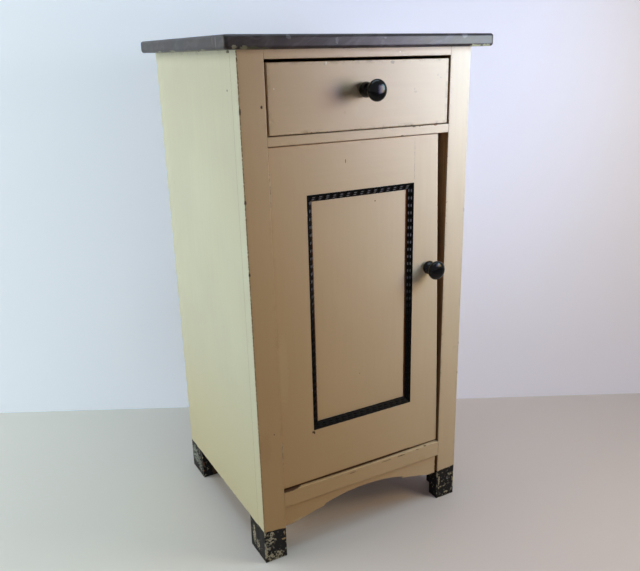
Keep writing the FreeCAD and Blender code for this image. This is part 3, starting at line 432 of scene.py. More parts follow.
    @staticmethod
    def _speckle(graph: Graph, given: Given) -> Made:
        """Small ragged specks, thinly spread.

        Args:
            graph: The group's graph.
            given: The group's inputs.

        Returns:
            The mask.
        """
        point = given["Point"]
        cells = graph.add("ShaderNodeTexVoronoi", {"Vector": point, "Scale": given["Scale"]})
        split = graph.add("ShaderNodeSeparateColor", {0: graph.take(cells, "Color")})
        rest = 1.0 - given["Density"]
        chosen = graph.step(graph.take(split, 0), rest, rest + 0.02)
        size = (graph.take(split, 1) + 0.35) * 0.3
        ragged = (graph.noise(point, 700.0, 3.0, 0.7) - 0.5) * 0.5
        inside = size - (graph.take(cells, "Distance") + ragged)
        return (graph.step(inside, 0.0, 0.06) * chosen,)

    @staticmethod
    def _scratch(graph: Graph, given: Given) -> Made:
        """Thin scratches that run roughly one way.

        Args:
            graph: The group's graph.
            given: The group's inputs.

        Returns:
            The mask.
        """
        point = given["Point"]
        waves = graph.noise(graph.vector("MULTIPLY", point, given["Stretch"]), 1.0, 2.0, 0.5)
        rest = 1.0 - given["Amount"]
        here = graph.step(graph.noise(point, 22.0, 2.0, 0.6), rest, rest + 0.1)
        return (graph.step(abs(waves - 0.5), 0.008, 0.0) * here,)


# ------------------------------------------------------------------ marks of age
@dataclass(frozen=True)
class RubbedEdge:
    """A straight arris where the paint is rubbed through, in millimetres as place takes them."""

    anchor: Triple
    along: Axis
    width: float
    amount: float                # 0 for none to 1 for the whole length
    colour: Colour
    patch: float = 45.0          # broken stretches a metre
    reach: float = 2000.0        # half its length


@dataclass(frozen=True)
class Chip:
    """A ragged chip, stain or smear, in millimetres as place takes them."""

    centre: Triple
    radii: Triple
    colour: Colour
    strength: float = 1.0
    ragged: float = 1.2


@dataclass(frozen=True)
class Face:
    """The part of a board beyond a plane, in metres: left without paint or blacked, browned with
    age and painted shade, or given a painted highlight.
    """

    direction: Triple
    offset: float                # along the direction
    softness: float = 0.0001
    ragged: float = 0.0


Mark = Union[RubbedEdge, Chip]


def faces(left: float = 0.0, right: float = 0.0, back: float = 0.0, top: float = 0.0,
          bottom: float = 0.0) -> tuple[Face, ...]:
    """Unpainted faces of a board, by where they start; zero leaves one out.

    Args:
        left: Bare left of this distance from the centre, in millimetres.
        right: Bare right of it.
        back: Bare behind this depth.
        top: Bare above this height.
        bottom: Bare below this height.

    Returns:
        The faces.
    """
    starts = ((left, (-1.0, 0.0, 0.0), -left * MM), (right, (1.0, 0.0, 0.0), right * MM),
              (back, (0.0, 1.0, 0.0), FRONT_Y + back * MM), (top, (0.0, 0.0, 1.0), top * MM),
              (bottom, (0.0, 0.0, -1.0), -bottom * MM))
    return tuple(Face(direction, offset) for start, direction, offset in starts if start)


# ------------------------------------------------------------------ finishes
class Skin:
    """A material under work: its graph, its shader and its colour so far."""

    def __init__(self, name: str, effects: Effects) -> None:
        """Starts a material.

        Args:
            name: The material's name.
            effects: The shared effects.
        """
        self.material = bpy.data.materials.new(name)
        self.material.use_nodes = True
        self.material.node_tree.nodes.clear()
        self.graph = Graph(self.material.node_tree)
        self.effects = effects
        self.shader = self.graph.add("ShaderNodeBsdfPrincipled")
        self.graph.add("ShaderNodeOutputMaterial", {"Surface": self.graph.take(self.shader)})
        self.point = self.graph.take(self.graph.add("ShaderNodeTexCoord"), "Object")
        self.colour: Input = (0.0, 0.0, 0.0)

    def noise(self, scale: float, detail: float, roughness: float) -> Value:
        """Cloudy noise at the material's point, as Graph.noise makes it."""
        return self.graph.noise(self.point, scale, detail, roughness)

    def effect(self, group: bpy.types.NodeTree, **values: Input) -> dict[str, Value]:
        """A shared effect at the material's point, as Graph.effect places it."""
        return self.graph.effect(group, Point=self.point, **values)

    def edge(self, low: Vector, high: Vector) -> Value:
        """Distance to the nearest edge of the board with these two corners."""
        return self.effect(self.effects.edge, Low=tuple(low), High=tuple(high))["Distance"]

    def lay(self, colour: Input, where: Input) -> None:
        """Lays a colour over the colour so far, where a mask lies."""
        self.colour = self.graph.mix(where, self.colour, colour)

    def mask(self, mark: Union[Mark, Face]) -> Value:
        """Where a mark lies.

        Args:
            mark: The mark.

        Returns:
            Its mask.
        """
        if isinstance(mark, RubbedEdge):
            return self.effect(self.effects.line_wear, Anchor=place(*mark.anchor),
                               Across=mark.along.across(), Width=mark.width * MM,
                               Patch=mark.patch, Amount=mark.amount,
                               Reach=mark.reach * MM)["Mask"]
        if isinstance(mark, Chip):
            spot = self.effect(self.effects.spot, Centre=place(*mark.centre),
                               Radii=toned(mark.radii, MM), Ragged=mark.ragged)
            return spot["Mask"] * mark.strength
        return self.effect(self.effects.beyond, Direction=mark.direction, Offset=mark.offset,
                           Softness=mark.softness, Ragged=mark.ragged)["Mask"]

    def union(self, masks: Iterable[Value]) -> Input:
        """Where any of several masks lies.

        Args:
            masks: The masks.

        Returns:
            Their union, or zero if there are none.
        """
        total: Input = 0.0
        for mask in masks:
            total = total | mask if isinstance(total, Value) else mask
        return total

    def lay_marks(self, marks: Sequence[Mark]) -> list[Value]:
        """Lays each mark's own colour where the mark lies.

        Args:
            marks: The marks, the lowest first.

        Returns:
            Their masks.
        """
        masks = [self.mask(mark) for mark in marks]
        for mark, where in zip(marks, masks):
            self.lay(mark.colour, where)
        return masks

    def finish(self, roughness: Input, height: Input, depth: float, specular: float = 0.5,
               metallic: float = 0.0) -> bpy.types.Material:
        """Links the shader.

        Args:
            roughness: The roughness.
            height: The height that is bumped.
            depth: Depth of a whole unit of height, in millimetres.
            specular: How much the surface mirrors.
            metallic: How much it is bare metal.

        Returns:
            The finished material.
        """
        bump = self.graph.add("ShaderNodeBump", {"Strength": 1.0, "Distance": depth * MM,
                                                 "Height": height})
        for name, value in (("Base Color", self.colour), ("Roughness", roughness),
                            ("Normal", self.graph.take(bump)),
                            ("Specular IOR Level", specular), ("Metallic", metallic)):
            self.graph.feed(self.shader.inputs[name], value)
        return self.material


@dataclass(frozen=True)
class WoodFinish:
    """Unpainted wood that has darkened with age."""

    name: str
    light: Colour
    dark: Colour
    dust: Colour = paint(120, 104, 84)
    roughness: float = 0.72
    knot: tuple[float, float] = (9 * MM, 6 * MM)    # half its length and half its width
    knot_at: float = 0.23        # off the board's middle, as a share of its sides

    def colours(self, skin: Skin, along: Axis) -> tuple[Value, Value]:
        """The wood's colour and grain height.

        Args:
            skin: The material under work.
            along: Direction of the grain.

        Returns:
            The colour and the height.
        """
        grain = skin.effect(skin.effects.grain, Stretch=along.stretch(7.0, 190.0))
        wood = skin.graph.mix(grain["Tone"], self.dark, self.light)
        stain = skin.graph.step(skin.noise(9.0, 4.0, 0.6), 0.5, 0.72)
        return skin.graph.mix(stain * 0.45, wood, self.dust), grain["Height"]

    def material(self, effects: Effects, along: Axis, low: Vector,
                 high: Vector) -> bpy.types.Material:
        """A board's material.

        Args:
            effects: The shared effects.
            along: Direction of the grain.
            low: The board's lowest corner.
            high: Its highest corner.

        Returns:
            The material.
        """
        skin = Skin(self.name, effects)
        skin.colour, height = self.colours(skin, along)
        dirt = skin.graph.step(skin.edge(low, high), 0.012, 0.0) * skin.noise(40.0, 3.0, 0.6)
        skin.lay(DARK_BROWN, dirt)
        knot = skin.effect(effects.spot, Radii=along.stretch(*self.knot), Ragged=0.5,
                           Centre=tuple((low + high) * 0.5 + (high - low) * self.knot_at))
        skin.lay(BROWN, knot["Mask"] * 0.8)
        return skin.finish(self.roughness + height * 0.15, height, 0.35)


@dataclass(frozen=True)
class PaintFinish:
    """Old cream oil paint over pine."""

    name: str
    colour: Colour
    # the colour the paint turns to with age and with painted shade
    aged_and_shaded: Colour
    wood: WoodFinish
    # where the paint turns browner: with age, and as painted shade where the light falls off
    ageing_and_shade: Face
    roughness: float = 0.36
    grime: Colour = paint(128, 108, 76)
    black: Colour = paint(9, 7, 7)

    def shade(self, skin: Skin, tone: Input) -> Value:
        """The sound paint's colour, with its brush marks, browner with age and darker with
        painted shade beyond a plane.

        Args:
            skin: The material under work.
            tone: The brush marks' tone.

        Returns:
            The colour.
        """
        fresh = skin.graph.mix(tone, toned(self.colour, 0.955), toned(self.colour, 1.03))
        clouds = skin.graph.step(skin.noise(4.5, 3.0, 0.55), 0.35, 0.7) * 0.16
        return skin.graph.mix(skin.mask(self.ageing_and_shade) * 0.9 | clouds, fresh, self.aged_and_shaded)

    def material(self, effects: Effects, along: Axis, low: Vector, high: Vector,
                 rubbed: Sequence[RubbedEdge] = (), chips: Sequence[Chip] = (),
                 bare: Sequence[Face] = (), blacked: Sequence[Face] = (),
                 foot_chips: Sequence[Chip] = (), wear: float = 1.0,
                 around: Sequence[Face] = (),
                 second: Optional["PaintFinish"] = None) -> bpy.types.Material:
        """A board's material.

        Args:
            effects: The shared effects.
            along: Direction of the brush marks.
            low: The board's lowest corner.
            high: Its highest corner.
            rubbed: Edges where the paint is rubbed through.
            chips: Chips and stains.
            bare: Faces without paint.
            blacked: Parts painted black, such as feet.
            foot_chips: Chips in the black paint.
            wear: Strength of the general wear.
            around: Faces that turn the corner and have the second paint.
            second: The paint of those faces.

        Returns:
            The material.
        """
        skin = Skin(self.name, effects)
        graph = skin.graph
        brush = skin.effect(effects.brush, Stretch=along.stretch(9.0, 160.0))
        skin.colour = self.shade(skin, brush["Tone"])
        if second:
            skin.lay(second.shade(skin, brush["Tone"]), skin.union(map(skin.mask, around)))
        edge = skin.edge(low, high)
        patchy = graph.step(skin.noise(55.0, 3.0, 0.65), 0.42, 0.75)
        skin.lay(self.grime, graph.step(edge, 0.007, 0.0004) * patchy * (0.55 * wear))
        specks = skin.effect(effects.speckle, Scale=120.0, Density=0.008)
        skin.lay(self.grime, specks["Mask"] * 0.5)
        scuffs = skin.effect(effects.scratch, Stretch=along.stretch(30.0, 8.0), Amount=0.34)
        skin.lay(self.grime, scuffs["Mask"] * (0.22 * wear))
        bites = graph.step(skin.noise(120.0, 3.0, 0.7), 0.56, 0.72) * (0.0016 * wear)
        nicks = graph.step(bites - edge, -0.0002, 0.0003)
        skin.lay(BROWN, nicks * 0.85)
        lost = skin.union([nicks, *skin.lay_marks((*rubbed, *chips))])
        roughness = self.roughness + brush["Tone"] * 0.1 + lost * 0.3
        height = brush["Height"] * 0.32 - lost
        if bare:
            where = skin.union(map(skin.mask, bare))
            skin.lay(self.wood.colours(skin, along)[0], where)
            roughness += where * 0.3
        if blacked:
            where = skin.union(map(skin.mask, blacked))
            tar, relief = self._black(skin, edge, foot_chips)
            skin.lay(tar, where)
            height += where * relief
            roughness += where * 0.25
        return skin.finish(roughness, height, 0.16, specular=0.3)

    def _black(self, skin: Skin, edge: Value, chips: Sequence[Chip]) -> tuple[Value, Value]:
        """The chipped black paint of a foot.

        Args:
            skin: The material under work.
            edge: Distance to the board's nearest edge.
            chips: Chips in the black.

        Returns:
            Its colour and its height.
        """
        graph = skin.graph
        tar = graph.mix(skin.noise(60.0, 3.0, 0.6), self.black, toned(self.black, 1.7))
        small = skin.effect(skin.effects.speckle, Scale=230.0, Density=0.12)["Mask"]
        large = graph.step(skin.noise(160.0, 5.0, 0.75), 0.6, 0.64)
        bites = graph.step(skin.noise(95.0, 4.0, 0.75), 0.47, 0.66) * 0.0026
        rim = graph.step(bites - edge, -0.0003, 0.0004)
        spread = graph.step(skin.noise(30.0, 2.0, 0.5), 0.42, 0.56)
        through = rim | spread * (small | large)
        ground = graph.mix(skin.noise(240.0, 2.0, 0.5), GREY_CHIP, CREAM_CHIP)
        tar = graph.mix(through, tar, ground)
        flaky = graph.step(skin.noise(210.0, 3.0, 0.7), 0.47, 0.53)
        peeled = [skin.mask(chip) * flaky for chip in chips]
        for chip, spot in zip(chips, peeled):
            tar = graph.mix(spot, tar, chip.colour)
        return tar, 0.6 - skin.union([through, *peeled])


@dataclass(frozen=True)
class SlabFinish:
    """Dark streaked paint that imitates slate."""

    name: str
    dark: Colour
    pale: Colour
    pale_right_with_sheen: Colour                 # the pale colour towards the right, bluer with a painted reflection of the lamps
    vein: Colour
    low: Vector                  # the slab's corners
    high: Vector
    marks: tuple[Mark, ...]

    def material(self, effects: Effects) -> bpy.types.Material:
        """The slab's material.

        Args:
            effects: The shared effects.

        Returns:
            The material.
        """
        skin = Skin(self.name, effects)
        graph = skin.graph
        swirl = graph.add("ShaderNodeTexNoise", {"Vector": skin.point, "Scale": 9.0,
                                                 "Detail": 3.0})
        push = graph.vector("SUBTRACT", graph.take(swirl, "Color"), (0.5, 0.5, 0.5))
        pushed = graph.vector("ADD", skin.point,
                              graph.vector("MULTIPLY", push, (0.07, 0.07, 0.07)))
        height = graph.vector("DOT_PRODUCT", pushed, (0.0, 0.0, 1.0))
        leaning = graph.vector("ADD", graph.vector("MULTIPLY", pushed, (1.0, 1.0, 0.0)),
                               graph.vector("MULTIPLY", height, (-1.5, 1.0, 0.5)))
        clouds = graph.noise(leaning, 26.0, 4.0, 0.58)
        # Towards the right the pale clouds turn bluer: the slate's own tone, and a painted
        # reflection of the lamps.
        pale = graph.mix(skin.mask(Face((1.0, 0.0, 0.0), 0.03, 0.36)), self.pale, self.pale_right_with_sheen)
        skin.colour = graph.mix(graph.step(clouds, 0.34, 0.7), self.dark, pale)
        streaks = graph.step(abs(graph.noise(leaning, 15.0, 3.0, 0.55) - 0.5), 0.05, 0.0)
        skin.lay(self.vein, streaks * 0.18)
        gaps = graph.step(abs(graph.noise(leaning, 11.0, 4.0, 0.6) - 0.53), 0.04, 0.0)
        skin.lay(self.dark, gaps * 0.35)
        rim = (graph.step(skin.edge(self.low, self.high), 0.0028, 0.0006)
               * graph.step(skin.noise(30.0, 3.0, 0.6), 0.25, 0.6))
        skin.lay(toned(self.dark, 0.6), rim * 0.75)
        flecks = skin.effect(effects.speckle, Scale=60.0, Density=0.05)
        skin.lay(self.vein, flecks["Mask"] * 0.6)
        lines = skin.effect(effects.scratch, Stretch=(16.0, 16.0, 60.0), Amount=0.4)
        skin.lay(self.vein, lines["Mask"] * 0.3)
        lost = skin.union(skin.lay_marks(self.marks))
        return skin.finish(0.3 + clouds * 0.16, clouds * 0.5 - lost, 0.2, specular=0.36)


@dataclass(frozen=True)
class EbonyFinish:
    """Black polish on turned or carved wood, with a painted highlight on the carving's tops where
    they are given.
    """

    name: str
    colour: Colour = paint(9, 8, 9)
    worn: Colour = paint(34, 22, 17)
    dust: Colour = paint(92, 86, 80)
    # pale colour laid on the carving's tops as a painted highlight of the lamps' glints
    painted_highlight: Colour = paint(112, 110, 114)
    raw: Colour = paint(98, 60, 32)
    wear: float = 0.3
    specular: float = 0.22
    matt: float = 0.16           # roughness
    bare: float = 0.0            # depth where bare wood begins; zero for none
    highlight_tops: Optional[Face] = None    # tops of the carving that get the painted highlight and less roughness
    highlight_height: Face = Face((0.0, 0.0, 1.0), 0.44, 0.12)    # the height above which the painted highlight shows

    def material(self, effects: Effects, along: Axis) -> bpy.types.Material:
        """The piece's material.

        Args:
            effects: The shared effects.
            along: Direction of the grain.

        Returns:
            The material.
        """
        skin = Skin(self.name, effects)
        grain = skin.effect(effects.grain, Stretch=along.stretch(20.0, 420.0))
        skin.colour = skin.graph.mix(grain["Tone"], toned(self.colour, 0.7),
                                     toned(self.colour, 1.35))
        rest = 0.3 * (1.0 - self.wear)
        rubbed = skin.graph.step(skin.noise(48.0, 4.0, 0.7), 0.38 + rest, 0.52 + rest)
        skin.lay(self.worn, rubbed * 0.35)
        specks = skin.effect(effects.speckle, Scale=260.0, Density=0.015)
        skin.lay(self.dust, specks["Mask"] * 0.4)
        rough = self.matt + rubbed * 0.25
        # Painted highlight: a pale colour on the tops above that height, where the lamps glint.
        if self.highlight_tops:
            tops = skin.mask(self.highlight_tops) * skin.mask(self.highlight_height)
            skin.lay(self.painted_highlight, tops)
            rough -= tops * 0.25
        if self.bare:
            skin.lay(self.raw, skin.mask(Face((0.0, 1.0, 0.0), FRONT_Y + self.bare * MM,
                                              0.001, 0.001)))
        return skin.finish(rough, grain["Height"], 0.05, specular=self.specular)


@dataclass(frozen=True)
class MetalFinish:
    """Old metal, tarnished or smeared with paint."""

    name: str
    bright: Colour
    dull: Colour
    metallic: float = 0.9

    def material(self, effects: Effects) -> bpy.types.Material:
        """The metal's material.

        Args:
            effects: The shared effects.

        Returns:
            The material.
        """
        skin = Skin(self.name, effects)
        graph = skin.graph
        tarnish = graph.step(skin.noise(130.0, 5.0, 0.65), 0.38, 0.66)
        skin.colour = graph.mix(tarnish, self.bright, self.dull)
        pits = skin.effect(effects.speckle, Scale=420.0, Density=0.08)
        skin.lay(DARK_BROWN, pits["Mask"] * 0.7)
        brushed = graph.vector("MULTIPLY", skin.point, (900.0, 900.0, 120.0))
        return skin.finish(0.32 + tarnish * 0.3, graph.noise(brushed, 1.0, 2.0, 0.6), 0.04,
                           metallic=self.metallic)


# ------------------------------------------------------------------ the cabinet
class Workshop:
    """Holds the CAD nodes and the finishes, and dresses nodes by name."""

    def __init__(self, nodes: dict[str, bpy.types.Object]) -> None:
        """Mixes the finishes.

        Args:
            nodes: The CAD nodes by name.
        """
        self.nodes = nodes
        self.effects = Effects()
        self.pine = WoodFinish("aged_pine", paint(186, 150, 104), paint(140, 102, 64))
        self.dark_pine = WoodFinish("dark_pine", paint(128, 92, 60), paint(86, 58, 36))
        self.raw_edge = WoodFinish("raw_edge", paint(150, 112, 74), paint(106, 76, 46),
                                   paint(112, 86, 56))
        # Front paint: browner and darker towards the lower left, with age and as painted shade of
        # the light falling off from the right.
        lower_left = Face((-0.95, 0.0, -0.31), -0.235, 0.8)
        # Side paint: darker and yellower towards the bottom.
        lower = Face((0.0, 0.1, -1.0), -0.24, 0.5)
        self.front_paint = PaintFinish("cream_front", paint(227, 217, 195),
                                       paint(184, 143, 91), self.raw_edge, lower_left)
        # The sides' cream is greener than the front's: a painted tint of the bluer daylight on
        # the sides, which the stiles' side faces share.
        self.side_paint_light_tinted = PaintFinish("cream_side", paint(212, 214, 190),
                                      paint(205, 196, 158), self.pine, lower, 0.42)
        self.iron = MetalFinish("old_iron", paint(120, 112, 104), paint(66, 48, 38))
        self.hinge = MetalFinish("smeared_hinge", paint(176, 156, 124), paint(120, 98, 70), 0.2)

    def dress(self, name: str, material: bpy.types.Material) -> None:
        """Gives a CAD node its material.

        Args:
            name: The node's name.
            material: The material.
        """
        slots = self.nodes[name].data.materials
        slots.clear()
        slots.append(material)
        LOG.info("dressed %s with %s", name, material.name)

    def longest(self, name: str) -> Axis:
        """The direction of a node's longest side."""
        low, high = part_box(name)
        return max(Axis, key=lambda axis: (high - low)[axis.value])

    def painted(self, name: str, finish: PaintFinish, whole: Sequence[str] = (),
                **marks: object) -> None:
        """Paints a CAD node.

        Args:
            name: The node's name.
            finish: The paint.
            whole: Nodes that make one face with it, whose joints show no dirt.
            **marks: The marks of age that PaintFinish.material takes.
        """
        boxes = [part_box(each) for each in (name, *whole)]
        low, high = (Vector([pick(box[end][i] for box in boxes) for i in range(3)])
                     for end, pick in ((0, min), (1, max)))
        self.dress(name, finish.material(self.effects, self.longest(name), low, high, **marks))

    def dress_all(self, finish: Union[WoodFinish, MetalFinish], *names: str) -> None:
        """Gives CAD nodes a wood, or a metal.

        Args:
            finish: The wood or the metal.
            *names: The nodes' names.
        """
        for name in names:
            if isinstance(finish, WoodFinish):
                material = finish.material(self.effects, self.longest(name), *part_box(name))
            else:
                material = finish.material(self.effects)
            self.dress(name, material)


@dataclass
class Slab:
    """The overhanging top, painted to look like slate, in millimetres."""

    node: str = "top_slab"
    dark: Colour = paint(24, 16, 14)
    pale: Colour = paint(50, 38, 36)
    pale_right_with_sheen: Colour = paint(54, 50, 62)
    vein: Colour = paint(104, 98, 102)
    half_width: float = 225.5
    front: float = -25.0         # depth of its front edge
    under: float = 822.0         # height of its lower face
    upper: float = 841.0

    def chips(self) -> tuple[Chip, ...]:
        """Bare and pale chips, most of them along the slab's lower arris.

        Returns:
            The chips.
        """
        olive = paint(66, 66, 44)
        cream = paint(180, 180, 140)
        side, front, under = -self.half_width, self.front, self.under
        return (
            Chip((190, front, under + 0.5), (12, 5, 2.2), cream, 0.9, 2.4),
            Chip((210, front, under + 1), (9, 5, 2.0), cream, 0.8, 2.4),
            Chip((-170, front, under + 1), (9, 5, 1.8), olive, 0.8, 2.2),
            Chip((-212, front, under + 3), (4, 6, 2.6), paint(150, 146, 120), 0.6, 2.0),
            Chip((-188, front, under + 1.5), (11, 5, 2.4), olive, 0.9, 1.8),
            Chip((-198, front, under + 2), (5, 6, 3.2), paint(130, 126, 96), 0.7, 2.0),
            Chip((21, front, under + 13), (2.2, 3, 1.3), self.vein, 0.9, 1.2),
            Chip((-59, front, under + 10), (2.5, 3, 4.5), self.vein, 0.6, 1.8),
            Chip((side, 6, under + 9), (3, 1.6, 9), self.vein, 0.7, 1.4),
            Chip((side, 18, under + 12), (3, 1.1, 7), self.vein, 0.6, 1.4),
            Chip((side, 120, under), (4, 14, 1.8), self.vein, 0.6, 2.0),
            Chip((side, 196, under), (4, 16, 2.0), cream, 0.6, 2.4),
            Chip((side, 262, under), (4, 12, 1.8), cream, 0.7, 2.4),
            Chip((side, 60, under), (4, 12, 1.6), cream, 0.6, 2.4),
        )

    def build(self, shop: Workshop) -> None:
        """Dresses the slab.

        Args:
            shop: The workshop.
        """
        rim = paint(30, 26, 27)
        worn = paint(128, 126, 116)
        rubbed = (
            RubbedEdge((0, self.front, self.upper), Axis.X, 2.6, 0.62, rim, 30.0),
            RubbedEdge((0, self.front, self.under), Axis.X, 2.4, 0.66, rim, 34.0),
            RubbedEdge((-self.half_width, 0, self.upper), Axis.Y, 2.2, 0.5, worn, 40.0),
            RubbedEdge((self.half_width, 0, self.upper), Axis.Y, 2.2, 0.45, worn, 40.0),
        )
        finish = SlabFinish("slate_paint", self.dark, self.pale, self.pale_right_with_sheen, self.vein,
                            *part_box(self.node), (*rubbed, *self.chips()))
        shop.dress(self.node, finish.material(shop.effects))


@dataclass
class Case:
    """The painted carcase with its inside boards, in millimetres."""

    half_width: float = 200.0
    side_inner: float = 181.4    # where a side board's bare inner face begins, from the centre
    inner: float = 160.0         # inner edge of a front stile, from the centre
    wrap: float = 0.6            # how far round its corner a stile has the side's paint
    back: float = 366.0          # depth of a side board's rear arris
    stile_back: float = 23.6     # depth where the bare backs of stiles and rails begin
    apron_back: float = 19.6
    side_back: float = 365.7
    # Below this height the top rail is bare wood, which also lays painted shade along its lower
    # edge over the drawer.
    rail_bare_and_shaded_below: float = 809.9    # below it the top rail is bare
    foot_height: float = 60.0
    foot_wave: float = 0.005     # metres that the black paint's upper line strays

    def _foot(self, slope: float, height: float) -> tuple[Face, ...]:
        """A foot's blacked part, by its upper line's slope and its height at the centre."""
        return (Face((slope, 0.0, -1.0), -height * MM, 0.0005, self.foot_wave),)

    def _turned(self, way: float) -> tuple[Face, ...]:
        """The outer edge of a stile, on the right for 1 and on the left for -1."""
        return (Face((way, 0.0, 0.0), (self.half_width - self.wrap) * MM, 0.0008),)

    def _left_stile(self, shop: Workshop) -> None:
        """Paints the left front stile with its foot.

        Args:
            shop: The workshop.
        """
        outer = -self.half_width
        foot_chips = (
            Chip((-190, 0, 53), (7.5, 4, 4.6), CREAM_CHIP, 0.95, 1.6),
            Chip((-189, 0, 41), (9.5, 4, 7.5), CREAM_CHIP, 0.9, 2.2),
            Chip((-194, 0, 30), (6.0, 4, 9.0), GREY_CHIP, 0.9, 2.0),
            Chip((-182, 0, 8), (17, 4, 9.0), CREAM_CHIP, 0.8, 2.0),
            Chip((-198, 0, 18), (3.0, 4, 14.0), CREAM_CHIP, 0.8, 2.0),
            Chip((-166, 0, 36), (6.5, 4, 1.8), paint(180, 154, 110), 0.9, 1.6),
            Chip((-186, 0, 6), (3.2, 4, 2.4), CREAM_CHIP, 0.9, 1.6),
            Chip((-170, 0, 9), (2.4, 4, 1.6), CREAM_CHIP, 0.8, 1.6),
            Chip((-177, 0, 14), (2.2, 4, 1.6), CREAM_CHIP, 0.8, 1.6),
            Chip((-164, 0, 46), (1.6, 4, 5.0), paint(170, 150, 118), 0.9, 1.8),
        )
        shop.painted(
            "front_stile_left", shop.front_paint, ("side_board_left",),
            rubbed=(RubbedEdge((outer, 0, 0), Axis.Z, 2.2, 1.0, paint(152, 126, 90), 26.0),
                    RubbedEdge((outer, 0, 0), Axis.Z, 1.6, 0.4, paint(104, 80, 54), 22.0)),
            chips=(Chip((-166.8, 0, 746.6), (1.8, 3, 2.2), BROWN),
                   Chip((-173, 0, 238.3), (1.0, 2, 1.2), BROWN),
                   Chip((-190, 0, 218), (10, 3, 30), paint(168, 122, 92), 0.16, 2.4),
                   Chip((-199, 0, 617), (1.8, 3, 3.4), BROWN, 0.8),
                   Chip((-199, 0, 510), (1.6, 3, 3.0), BROWN, 0.8),
                   Chip((-199, 0, 742), (1.5, 3, 4.4), BROWN, 0.8)),
            bare=faces(back=self.stile_back), wear=0.3,
            around=self._turned(-1.0), second=shop.side_paint_light_tinted,
            blacked=self._foot(-0.124, 36.2), foot_chips=foot_chips)

    def _right_stile(self, shop: Workshop) -> None:
        """Paints the right front stile with its foot.

        Args:
            shop: The workshop.
        """
        outer, inner = self.half_width, self.inner
        foot_chips = (
            Chip((165, 0, 40), (1.6, 4, 15), CREAM_CHIP, 0.85, 1.8),
            Chip((172, 0, 23), (8.0, 4, 1.5), CREAM_CHIP, 0.85, 1.3),
            Chip((193, 0, 45), (6.0, 4, 2.4), CREAM_CHIP, 0.9, 1.8),
            Chip((186, 0, 38), (4.6, 4, 4.0), paint(150, 150, 158), 0.9, 2.0),
            Chip((198, 0, 34), (2.2, 4, 6.0), paint(190, 178, 128), 0.9, 1.6),
            Chip((184, 0, 25), (7.0, 4, 0.9), GREY_CHIP, 0.8, 1.6),
            Chip((182, 0, 8), (4.6, 4, 2.0), CREAM_CHIP, 0.85, 2.2),
            Chip((167, 0, 7), (3.2, 4, 1.6), GREY_CHIP, 0.8, 2.0),
            Chip((195, 0, 10), (1.8, 4, 3.4), CREAM_CHIP, 0.8, 1.8),
        )
        shop.painted(
            "front_stile_right", shop.front_paint, ("side_board_right",),
            rubbed=(RubbedEdge((outer, 0, 0), Axis.Z, 1.4, 0.4, BROWN, 32.0),
                    RubbedEdge((inner, 0, 0), Axis.Z, 0.8, 0.4, BROWN, 38.0),
                    RubbedEdge((inner, 6, 0), Axis.Z, 7.0, 0.8, paint(150, 122, 84), 20.0)),
            chips=(Chip((199.5, 0, 257), (1.6, 3, 3.0), BROWN),
                   Chip((199.5, 0, 316), (1.2, 3, 2.0), BROWN),
                   Chip((199.5, 0, 560), (1.2, 3, 4.0), BROWN, 0.7)),
            bare=faces(left=inner + 0.05, back=self.stile_back), wear=0.4,
            around=self._turned(1.0), second=shop.side_paint_light_tinted,
            blacked=self._foot(0.058, 50.4), foot_chips=foot_chips)

    def _sides(self, shop: Workshop) -> None:
        """Paints the two side boards, whose feet are blacked to one height.

        Args:
            shop: The workshop.
        """
        chips = {
            "left": (Chip((-200, 39.9, 768.8), (2, 1.4, 1.6), DARK_BROWN),
                     Chip((-200, 28, 820), (3, 7, 2.0), OLIVE, 0.8, 2.0)),
            "right": (Chip((200, 210, 388), (2, 14, 1.2), paint(172, 158, 120), 0.5, 1.8),
                      Chip((200, 96, 640), (2, 2.0, 1.4), BROWN)),
        }
        foot_chips = {
            "left": (Chip((-200, 45, 30), (4, 6.5, 19), CREAM_CHIP, 0.9, 2.0),
                     Chip((-200, 30, 18), (4, 8.0, 9), CREAM_CHIP, 0.8, 2.0),
                     Chip((-200, 346, 34), (4, 18, 20), paint(160, 168, 156), 0.9, 1.6),
                     Chip((-200, 322, 20), (4, 10.0, 16), paint(150, 156, 142), 0.8, 2.0),
                     Chip((-200, 304.5, 26), (4, 1.4, 13), paint(146, 96, 60), 0.9, 1.2),
                     Chip((-200, 322, 54), (4, 1.2, 9), CREAM_CHIP, 0.8, 1.6)),
            "right": (Chip((200, 330, 30), (4, 9, 12), CREAM_CHIP, 0.8, 2.0),
                      Chip((200, 40, 24), (4, 6, 9), CREAM_CHIP, 0.8, 2.0)),
        }
        for hand, outer, inner in (("left", -self.half_width, {"right": -self.side_inner}),
                                   ("right", self.half_width, {"left": self.side_inner})):
            shop.painted(
                "side_board_" + hand, shop.side_paint_light_tinted, ("front_stile_" + hand,),
                rubbed=(RubbedEdge((outer, self.back, 0), Axis.Z, 1.8, 0.5, BROWN, 30.0),
                        RubbedEdge((outer, 0, self.foot_height), Axis.Y, 1.1, 0.4, GREY_CHIP,
                                   40.0)),
                chips=chips[hand], bare=faces(back=self.side_back, **inner), wear=0.6,
                blacked=self._foot(0.0, self.foot_height), foot_chips=foot_chips[hand])

